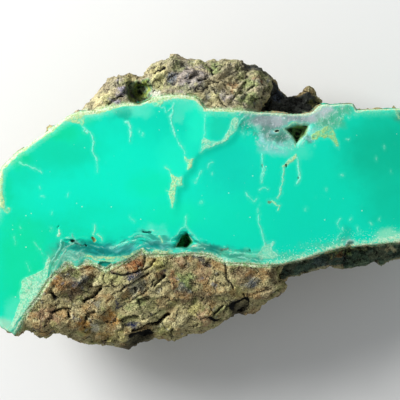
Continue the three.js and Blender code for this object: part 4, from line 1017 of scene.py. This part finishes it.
crackNear = crackNear + 3 * (1 - topSide)  # cracks are drawn on top only
for name, values in {"rockAway": rockAway, "topSide": topSide, "crest": crest, "shade": shade, "rind": rind,
                     "crackNear": crackNear, "hollow": hollow, "paleNear": paleNear, "darkNear": darkNear,
                     "grainAmount": grainAmount, "crust": crust, "seam": seam, "edgeIn": -veinEdge,
                     "rockPaintedShade": rockPaintedShade, "contact": contact, "rim": rim, "specks": specks}.items():
    addNumbers(stoneObject.data, name, values)
for name, values in {"paleTint": paleColour, "darkTint": darkColour, "faceTint": faceTint,
                     "rockTint": np.column_stack([rockTint, brownness])}.items():
    addColours(stoneObject.data, name, values)
print("stone", len(faces), "triangles")


def rgba(colour):
    return (*linear(colour), 1)


# A value in a material: sums on it add Math nodes.
class Value:
    def __init__(self, tree, socket=None):
        self.tree, self.socket = tree, socket

    def node(self, kind, sockets, output=0, **settings):
        made = self.tree.nodes.new(kind)
        for name, value in settings.items():
            setattr(made, name, value)
        for key, value in sockets.items():
            if isinstance(value, Value):
                self.tree.links.new(value.socket, made.inputs[key])
            else:
                made.inputs[key].default_value = value
        return Value(self.tree, made.outputs[output]) if len(made.outputs) else None

    def math(self, operation, *values):
        return self.node("ShaderNodeMath", dict(enumerate(values)), operation=operation)

    def __add__(self, other):
        return self.math("ADD", self, other)

    def __radd__(self, other):
        return self.math("ADD", other, self)

    def __sub__(self, other):
        return self.math("SUBTRACT", self, other)

    def __rsub__(self, other):
        return self.math("SUBTRACT", other, self)

    def __mul__(self, other):
        return self.math("MULTIPLY", self, other)

    def __rmul__(self, other):
        return self.math("MULTIPLY", other, self)

    def step(self, low, high, bottom=0.0, top=1.0):
        limits = {"Value": self, "From Min": low, "From Max": high, "To Min": bottom, "To Max": top}
        return self.node("ShaderNodeMapRange", limits, interpolation_type="SMOOTHSTEP")

    # self is how much of the second colour shows; either may be a plain colour
    def mix(self, under, over):
        under, over = (side if isinstance(side, Value) else rgba(side) for side in (under, over))
        return self.node("ShaderNodeMix", {0: self, 6: under, 7: over}, 2, data_type="RGBA")


# Lays colours over a first one, each as strongly as its own value says.
def layered(colour, *layers):
    for strength, over in layers:
        colour = strength.mix(colour, over)
    return colour


def newMaterial(name):
    material = bpy.data.materials.new(name)
    material.use_nodes = True
    material.node_tree.nodes.clear()
    return material, Value(material.node_tree)


def attribute(tree, name, output="Fac"):
    return tree.node("ShaderNodeAttribute", {}, output, attribute_name=name)


# place is in metres, so scale counts waves per metre
def cloudNoise(tree, place, scale, detail=2.0, distortion=0.0):
    sockets = {"Vector": place, "Scale": scale, "Detail": detail, "Distortion": distortion}
    return tree.node("ShaderNodeTexNoise", sockets, "Fac")


def cellShade(tree, place, scale):
    colour = tree.node("ShaderNodeTexVoronoi", {"Vector": place, "Scale": scale}, "Color")
    return tree.node("ShaderNodeSeparateColor", {"Color": colour}, "Red")


finish = {
    "smallWaves": 520,  # waves per metre of the noises that most colours share
    "fineWaves": 1500,
    "gritWaves": 3000,
    "greenRoughness": 0.55,
    "greenBump": 0.0002,  # metres
    "greenGloss": 0.1,
    "lightInside": 0.2,  # how much light passes into the green stone, and how far by colour
    "lightReach": (0.1, 1.0, 0.8),
    "lightDepth": 0.001,
    "rockRoughness": 0.85,
    "rockBump": 0.0004,
    "rockGloss": 0.2,
}


# Colour and bump height of the rocks, the same on the stone and on its loose grains.
def rockLooks(tree, place):
    crest, shade = attribute(tree, "crest"), attribute(tree, "shade")
    # the mottling stays faint where the rock is painted as shade
    bright = 1 - attribute(tree, "rockPaintedShade")
    grain = cellShade(tree, place, 1500)
    fine = cloudNoise(tree, place, 2400, 3)
    dust = cloudNoise(tree, place, 3300, 1)
    patches = cloudNoise(tree, place, 230, 5)
    elsewhere = tree.node("ShaderNodeVectorMath", {0: place, 1: (0.05, 0.02, 0.03)}, operation="ADD")
    others = cloudNoise(tree, elsewhere, 460, 4)
    tint, brownness = (attribute(tree, "rockTint", part) for part in ("Color", "Alpha"))
    mottled = layered(
        tint,
        (patches.step(0.52, 0.62) * brownness * bright * 0.55, mottleBrown),
        (patches.step(0.46, 0.36) * bright * 0.5, mottleOlive),
        (others.step(0.6, 0.72) * bright * 0.5, mottleBlue),
        (others.step(0.4, 0.3) * bright * 0.4, creamRock),
        (shade.step(0.7, 0.95) * bright * 0.3, greyBrown))

    # fine splits between crooked cells
    warp = tree.node("ShaderNodeTexNoise", {"Vector": place, "Scale": 500, "Detail": 3}, "Color")
    bent = tree.node("ShaderNodeVectorMath", {0: warp, 1: (0.0016, 0.0016, 0.0016), 2: place},
                     operation="MULTIPLY_ADD")
    gap = tree.node("ShaderNodeTexVoronoi", {"Vector": bent, "Scale": 300}, "Distance",
                    feature="DISTANCE_TO_EDGE")
    split = gap.step(0.06, 0.01) * others.step(0.44, 0.58)

    # painted highlight on the crests and painted shade in the hollows, mixed with each chip's and grain's
    # own tone; cream crumbs also gather on the painted highlights
    light = grain.step(0.6, 1) * 0.4 + crest.step(0.03, 0.25) * 0.5 + shade.step(0.55, 0.95) * 0.35
    dark = grain.step(0.32, 0) * 0.4 + crest.step(-0.03, -0.22) * 0.8 + shade.step(0.35, 0.1) * 0.3
    value = 1.38 + (light * fine.step(0.35, 0.6) - dark * fine.step(0.75, 0.45)) * 0.9 - split * 0.6
    value = value + (fine - 0.5) * 1.5 - dust.step(0.44, 0.3) * 0.7
    shaded = {"Saturation": 1.08, "Value": value, "Color": mottled}
    crumbs = (light * fine.step(0.42, 0.62) + dust.step(0.56, 0.68)) * bright * 0.42
    colour = crumbs.mix(tree.node("ShaderNodeHueSaturation", shaded, "Color"), creamRock)
    return colour, fine * 0.6 + dust * 0.5 + grain * 0.2 - split * 1.2


# The green stone, before the marks on it: soft clouds, then the layered seam, the cloudy crust, the
# haze inside the rim and small pale specks.
def greenLooks(tree, place, small, fine, ragged):
    large = cloudNoise(tree, place, 90, 3, 0.6)
    across, up = (tree.node("ShaderNodeSeparateXYZ", {"Vector": place}, axis) for axis in "XY")
    edgeIn, seam, crust, specks = (attribute(tree, name) for name in ("edgeIn", "seam", "crust", "specks"))
    layers = tree.node("ShaderNodeCombineXYZ", {0: across * 0.25, 1: up * 0.25, 2: edgeIn * 0.001})
    streak = cloudNoise(tree, layers, 1000, 4, 0.4)
    slant = {0: across * 0.9 - up * 0.45, 1: (across * 0.45 + up * 0.9) * 0.55}
    vein = cloudNoise(tree, tree.node("ShaderNodeCombineXYZ", slant), 1300, 3, 0.8)
    frost = (edgeIn + ragged * 3).step(2.8, 0.6) * attribute(tree, "rim") * fine.step(0.4, 0.56, 0.35, 1)
    crumbs = (edgeIn + ragged * 3 - specks * 1.2).step(1.2, -0.6) * specks * fine.step(0.42, 0.56)
    flecks = cloudNoise(tree, place, 2200, 2).step(0.58, 0.64) * small.step(0.36, 0.5)
    middle = tree.node("ShaderNodeTexVoronoi", {"Vector": place, "Scale": 1500}, "Distance")
    dots = middle.step(0.3, 0.15) * (cellShade(tree, place, 1500) + specks * 0.2).step(0.97, 1)
    return layered(
        attribute(tree, "faceTint", "Color"),
        (large.step(0.45, 0.7) * 0.06, hotMint),
        (small.step(0.62, 0.8) * 0.04, paleMint),
        (seam * streak.step(0.56, 0.42) * 0.65, deepTeal),
        (seam * streak.step(0.56, 0.66) * 0.2, greyMint),
        (seam * (streak + fine * 0.5).step(0.87, 0.97) * 0.45, whiteMint),
        (crust * small.step(0.46, 0.62) * 0.22, whiteLilac),
        (crust * vein.step(0.54, 0.66) * 0.28, white),
        (crust * fine.step(0.58, 0.7) * 0.35, white),
        (crust * small.step(0.44, 0.34) * 0.4, oliveGrey),
        (frost * 0.9, small.step(0.4, 0.6).mix(paleMint, mintCream)),
        (crumbs * 0.85, mintCream),
        (flecks * specks * 0.8, whiteMint),
        (dots * 0.75, whiteMint))


def stoneMaterial():
    material, tree = newMaterial("stone")
    place = tree.node("ShaderNodeTexCoord", {}, "Object")
    small = cloudNoise(tree, place, finish["smallWaves"], 4)
    fine = cloudNoise(tree, place, finish["fineWaves"], 3)
    grit = cloudNoise(tree, place, finish["gritWaves"], 2)
    ragged = (small - 0.5) * 0.9 + (fine - 0.5) * 0.7
    sparkle = grit * 0.6 + fine * 0.4
    topSide, rim, rind, hollow = (attribute(tree, name) for name in ("topSide", "rim", "rind", "hollow"))

    # light marks with a glow round them, and dark ones
    paleTint, paleAlpha = (attribute(tree, "paleTint", part) for part in ("Color", "Alpha"))
    darkTint, darkAlpha = (attribute(tree, "darkTint", part) for part in ("Color", "Alpha"))
    paleNear = attribute(tree, "paleNear")
    glow = (paleNear + ragged).step(0.8, 0) * paleAlpha * topSide * 0.22
    pale = (paleNear + ragged * 0.8).step(0.12, -0.1) * paleAlpha * topSide
    pale = pale * small.step(0.32, 0.5, 0.4, 1) * fine.step(0.36, 0.54, 0.5, 1)
    uneven = {"Saturation": 1.0, "Value": sparkle.step(0.42, 0.58, 0.82, 1.1), "Color": paleTint}
    dark = (attribute(tree, "darkNear") + ragged * 0.7).step(0.14, -0.18) * darkAlpha * topSide

    # old skin that clings to the sides, the cream rim of the face, and crumbs where rock meets it
    wall = (small * 0.5 + cloudNoise(tree, place, 140, 4) * 0.5).step(0.38, 0.62)
    skinPatches = cloudNoise(tree, place, 170, 5, 0.5) + (fine - 0.5) * 0.35
    skin = (skinPatches + rind * 0.5).step(0.93, 1.02) * rind.step(0.1, 0.4)
    skinTint = cloudNoise(tree, place, 420, 5).step(0.36, 0.66).mix(skinBrown, skinCream)
    rimIn = attribute(tree, "edgeIn") - rim * 1.2 + ragged * 1.1
    rimTint = (grit.step(0.42, 0.3) * 0.6).mix(fine.step(0.4, 0.6).mix(creamGreen, ivory), crumbOlive)
    rockAway = attribute(tree, "rockAway") + ragged * 0.8
    band = rockAway.step(-1, -0.15) * rockAway.step(0.9, 0.15) * small.step(0.34, 0.5, 0.25, 1)
    band = band * attribute(tree, "contact") * topSide * 0.9
    crumb = (grit.step(0.42, 0.34) * 0.7).mix(sparkle.step(0.42, 0.58).mix(crumbGreen, ivory), crumbOlive)
    # painted light and shade in the hollows: their own colour where lit, nearly black where shade is
    # painted
    lit = (attribute(tree, "shade") * 0.75 + 0.25) * small.step(0.36, 0.6)
    inHollow = lit.mix(pitShadeBlack, attribute(tree, "faceTint", "Color"))

    green = layered(
        greenLooks(tree, place, small, fine, ragged),
        (1 - topSide, wall.mix(wallDeep, wallLight)),
        (glow, paleMint),
        (pale, tree.node("ShaderNodeHueSaturation", uneven, "Color")),
        (dark, darkTint),
        (skin, (grit.step(0.44, 0.34) * 0.5).mix(skinTint, crumbOlive)),
        (rimIn.step(0.12, -0.2) * topSide * 0.9, rimTint),
        (band, crumb),
        (hollow, inHollow))
    height = small * 0.2 + (pale + band) * grit * 2.5
    bump = {"Strength": 0.3, "Distance": finish["greenBump"], "Height": height}
    greenShader = tree.node("ShaderNodeBsdfPrincipled", {
        "Base Color": green, "Roughness": pale * 0.2 + finish["greenRoughness"],
        "Normal": tree.node("ShaderNodeBump", bump), "Specular IOR Level": finish["greenGloss"],
        "Subsurface Weight": finish["lightInside"], "Subsurface Radius": finish["lightReach"],
        "Subsurface Scale": finish["lightDepth"]})

    rockTint, height = rockLooks(tree, place)
    # dark cracks, and painted shade in the hollows drawn as wide cracks
    crack = (attribute(tree, "crackNear") + ragged * 0.6).step(0.04, -0.16)
    rockTint = layered(rockTint, (band, crumb), (crack, crackAndShadeBlack), (hollow, inHollow))
    bump = {"Strength": 1.0, "Distance": finish["rockBump"], "Height": height}
    rockShader = tree.node("ShaderNodeBsdfPrincipled", {
        "Base Color": rockTint, "Roughness": finish["rockRoughness"],
        "Normal": tree.node("ShaderNodeBump", bump), "Specular IOR Level": finish["rockGloss"]})
    shaders = {0: rockAway.step(-0.06, 0.1), 1: greenShader, 2: rockShader}
    tree.node("ShaderNodeOutputMaterial", {"Surface": tree.node("ShaderNodeMixShader", shaders)})
    return material


stoneObject.data.materials.append(stoneMaterial())

# Grains that the rocks are studded with: how many on a square metre, and their half sizes in metres.
grains = {"Grains per area": 1.8e6, "Smallest": 0.0001, "Largest": 0.0003, "Seed": 11}
fullTurn = 6.28


def grainTree():
    group = bpy.data.node_groups.new("grains", "GeometryNodeTree")
    kinds = {"Geometry": "NodeSocketGeometry", "Seed": "NodeSocketInt"}
    for name in ("Geometry", *grains):
        group.interface.new_socket(name, in_out="INPUT", socket_type=kinds.get(name, "NodeSocketFloat"))
    group.interface.new_socket("Geometry", in_out="OUTPUT", socket_type="NodeSocketGeometry")
    tree = Value(group)
    given = group.nodes.new("NodeGroupInput")
    known = {name: Value(group, given.outputs[name]) for name in ("Geometry", *grains)}
    amount = tree.node("GeometryNodeInputNamedAttribute", {"Name": "grainAmount"}, "Attribute",
                       data_type="FLOAT")
    density = amount * known["Grains per area"]
    spread = tree.node("GeometryNodeDistributePointsOnFaces", {
        "Mesh": known["Geometry"], "Density": density, "Seed": known["Seed"]}, "Points")
    ball = tree.node("GeometryNodeMeshIcoSphere", {"Radius": 1.0, "Subdivisions": 1}, "Mesh")
    pebble = tree.node("GeometryNodeTransform", {"Geometry": ball, "Scale": (1.0, 0.75, 0.6)}, "Geometry")
    # sockets 0 and 1 are a random vector's least and most, 2 and 3 a random number's
    turn = tree.node("FunctionNodeRandomValue", {0: (0, 0, 0), 1: (fullTurn,) * 3, "Seed": 1},
                     data_type="FLOAT_VECTOR")
    size = tree.node("FunctionNodeRandomValue", {2: known["Smallest"], 3: known["Largest"], "Seed": 2}, 1,
                     data_type="FLOAT")
    placed = tree.node("GeometryNodeInstanceOnPoints", {
        "Points": spread, "Instance": pebble, "Rotation": turn, "Scale": size}, "Instances")
    tone = tree.node("FunctionNodeRandomValue", {2: 0.0, 3: 1.0, "Seed": 3}, 1, data_type="FLOAT")
    toned = tree.node("GeometryNodeStoreNamedAttribute", {
        "Geometry": placed, "Name": "shade", "Value": tone}, "Geometry",
        data_type="FLOAT", domain="INSTANCE")
    whole = tree.node("GeometryNodeRealizeInstances", {"Geometry": toned}, "Geometry")
    painted = tree.node("GeometryNodeSetMaterial", {
        "Geometry": whole, "Material": stoneObject.data.materials[0]}, "Geometry")
    tree.node("NodeGroupOutput", {"Geometry": painted})
    return group


def makeGrains():
    source = bpy.data.objects.new("grain_source", stoneObject.data.copy())
    scene.collection.objects.link(source)
    spread = source.modifiers.new("grains", "NODES")
    spread.node_group = grainTree()
    for item in spread.node_group.interface.items_tree:
        if item.in_out == "INPUT" and item.name in grains:
            spread[item.identifier] = grains[item.name]
    evaluated = source.evaluated_get(bpy.context.evaluated_depsgraph_get())
    mesh = bpy.data.meshes.new_from_object(evaluated)
    bpy.data.objects.remove(source)
    mesh.name = "rock_grains"
    made = bpy.data.objects.new(mesh.name, mesh)
    scene.collection.objects.link(made)
    print("grains", len(mesh.polygons), "triangles")
    return made


scene = bpy.context.scene
grainObject = makeGrains()
for item in (stoneObject, grainObject):
    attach(item, "root")
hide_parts("variscite_stone")

scene.view_settings.view_transform = "Standard"

studio = {
    "floorHalf": 1.5,
    "floorColour": (226, 226, 224),
    "floorCloud": (222, 222, 220),
    "skyColour": (0.94, 0.97, 1.0),
    "skyStrength": 0.42,
    "keyFrom": (-0.56, 0.32, 0.44),  # metres from the stone
    "keySize": 0.35,
    "keyPower": 9.0,
    "lens": 240.0,
    "aim": (-0.0045, 0.0004, 0.036),
    "seenWidth": 0.1,  # metres across the picture at the face
}


def setStudio():
    half = studio["floorHalf"]
    mesh = bpy.data.meshes.new("floor")
    corners = [(-half, -half, 0), (half, -half, 0), (half, half, 0), (-half, half, 0)]
    mesh.from_pydata(corners, [], [(0, 1, 2, 3)])
    floor = bpy.data.objects.new("floor", mesh)
    scene.collection.objects.link(floor)
    material, tree = newMaterial("floor")
    place = tree.node("ShaderNodeTexCoord", {}, "Object")
    colour = cloudNoise(tree, place, 6).step(0.3, 0.7).mix(studio["floorColour"], studio["floorCloud"])
    surface = tree.node("ShaderNodeBsdfPrincipled", {"Base Color": colour, "Roughness": 0.9})
    tree.node("ShaderNodeOutputMaterial", {"Surface": surface})
    mesh.materials.append(material)

    world = bpy.data.worlds.new("studio")
    world.use_nodes = True
    sky = world.node_tree.nodes["Background"]
    sky.inputs["Color"].default_value = (*studio["skyColour"], 1)
    sky.inputs["Strength"].default_value = studio["skyStrength"]
    scene.world = world

    lamp = bpy.data.lights.new("key", "AREA")
    lamp.energy, lamp.size = studio["keyPower"], studio["keySize"]
    key = bpy.data.objects.new("key", lamp)
    key.location = studio["keyFrom"]
    key.rotation_euler = (-Vector(studio["keyFrom"])).to_track_quat("-Z", "Y").to_euler()
    scene.collection.objects.link(key)

    lens = bpy.data.cameras.new("camera")
    lens.lens, lens.clip_start, lens.clip_end = studio["lens"], 0.01, 20
    camera = bpy.data.objects.new("camera", lens)
    away = studio["seenWidth"] * studio["lens"] / lens.sensor_width
    camera.location = Vector(studio["aim"]) + Vector((0, 0, away))
    scene.collection.objects.link(camera)
    scene.camera = camera


setStudio()
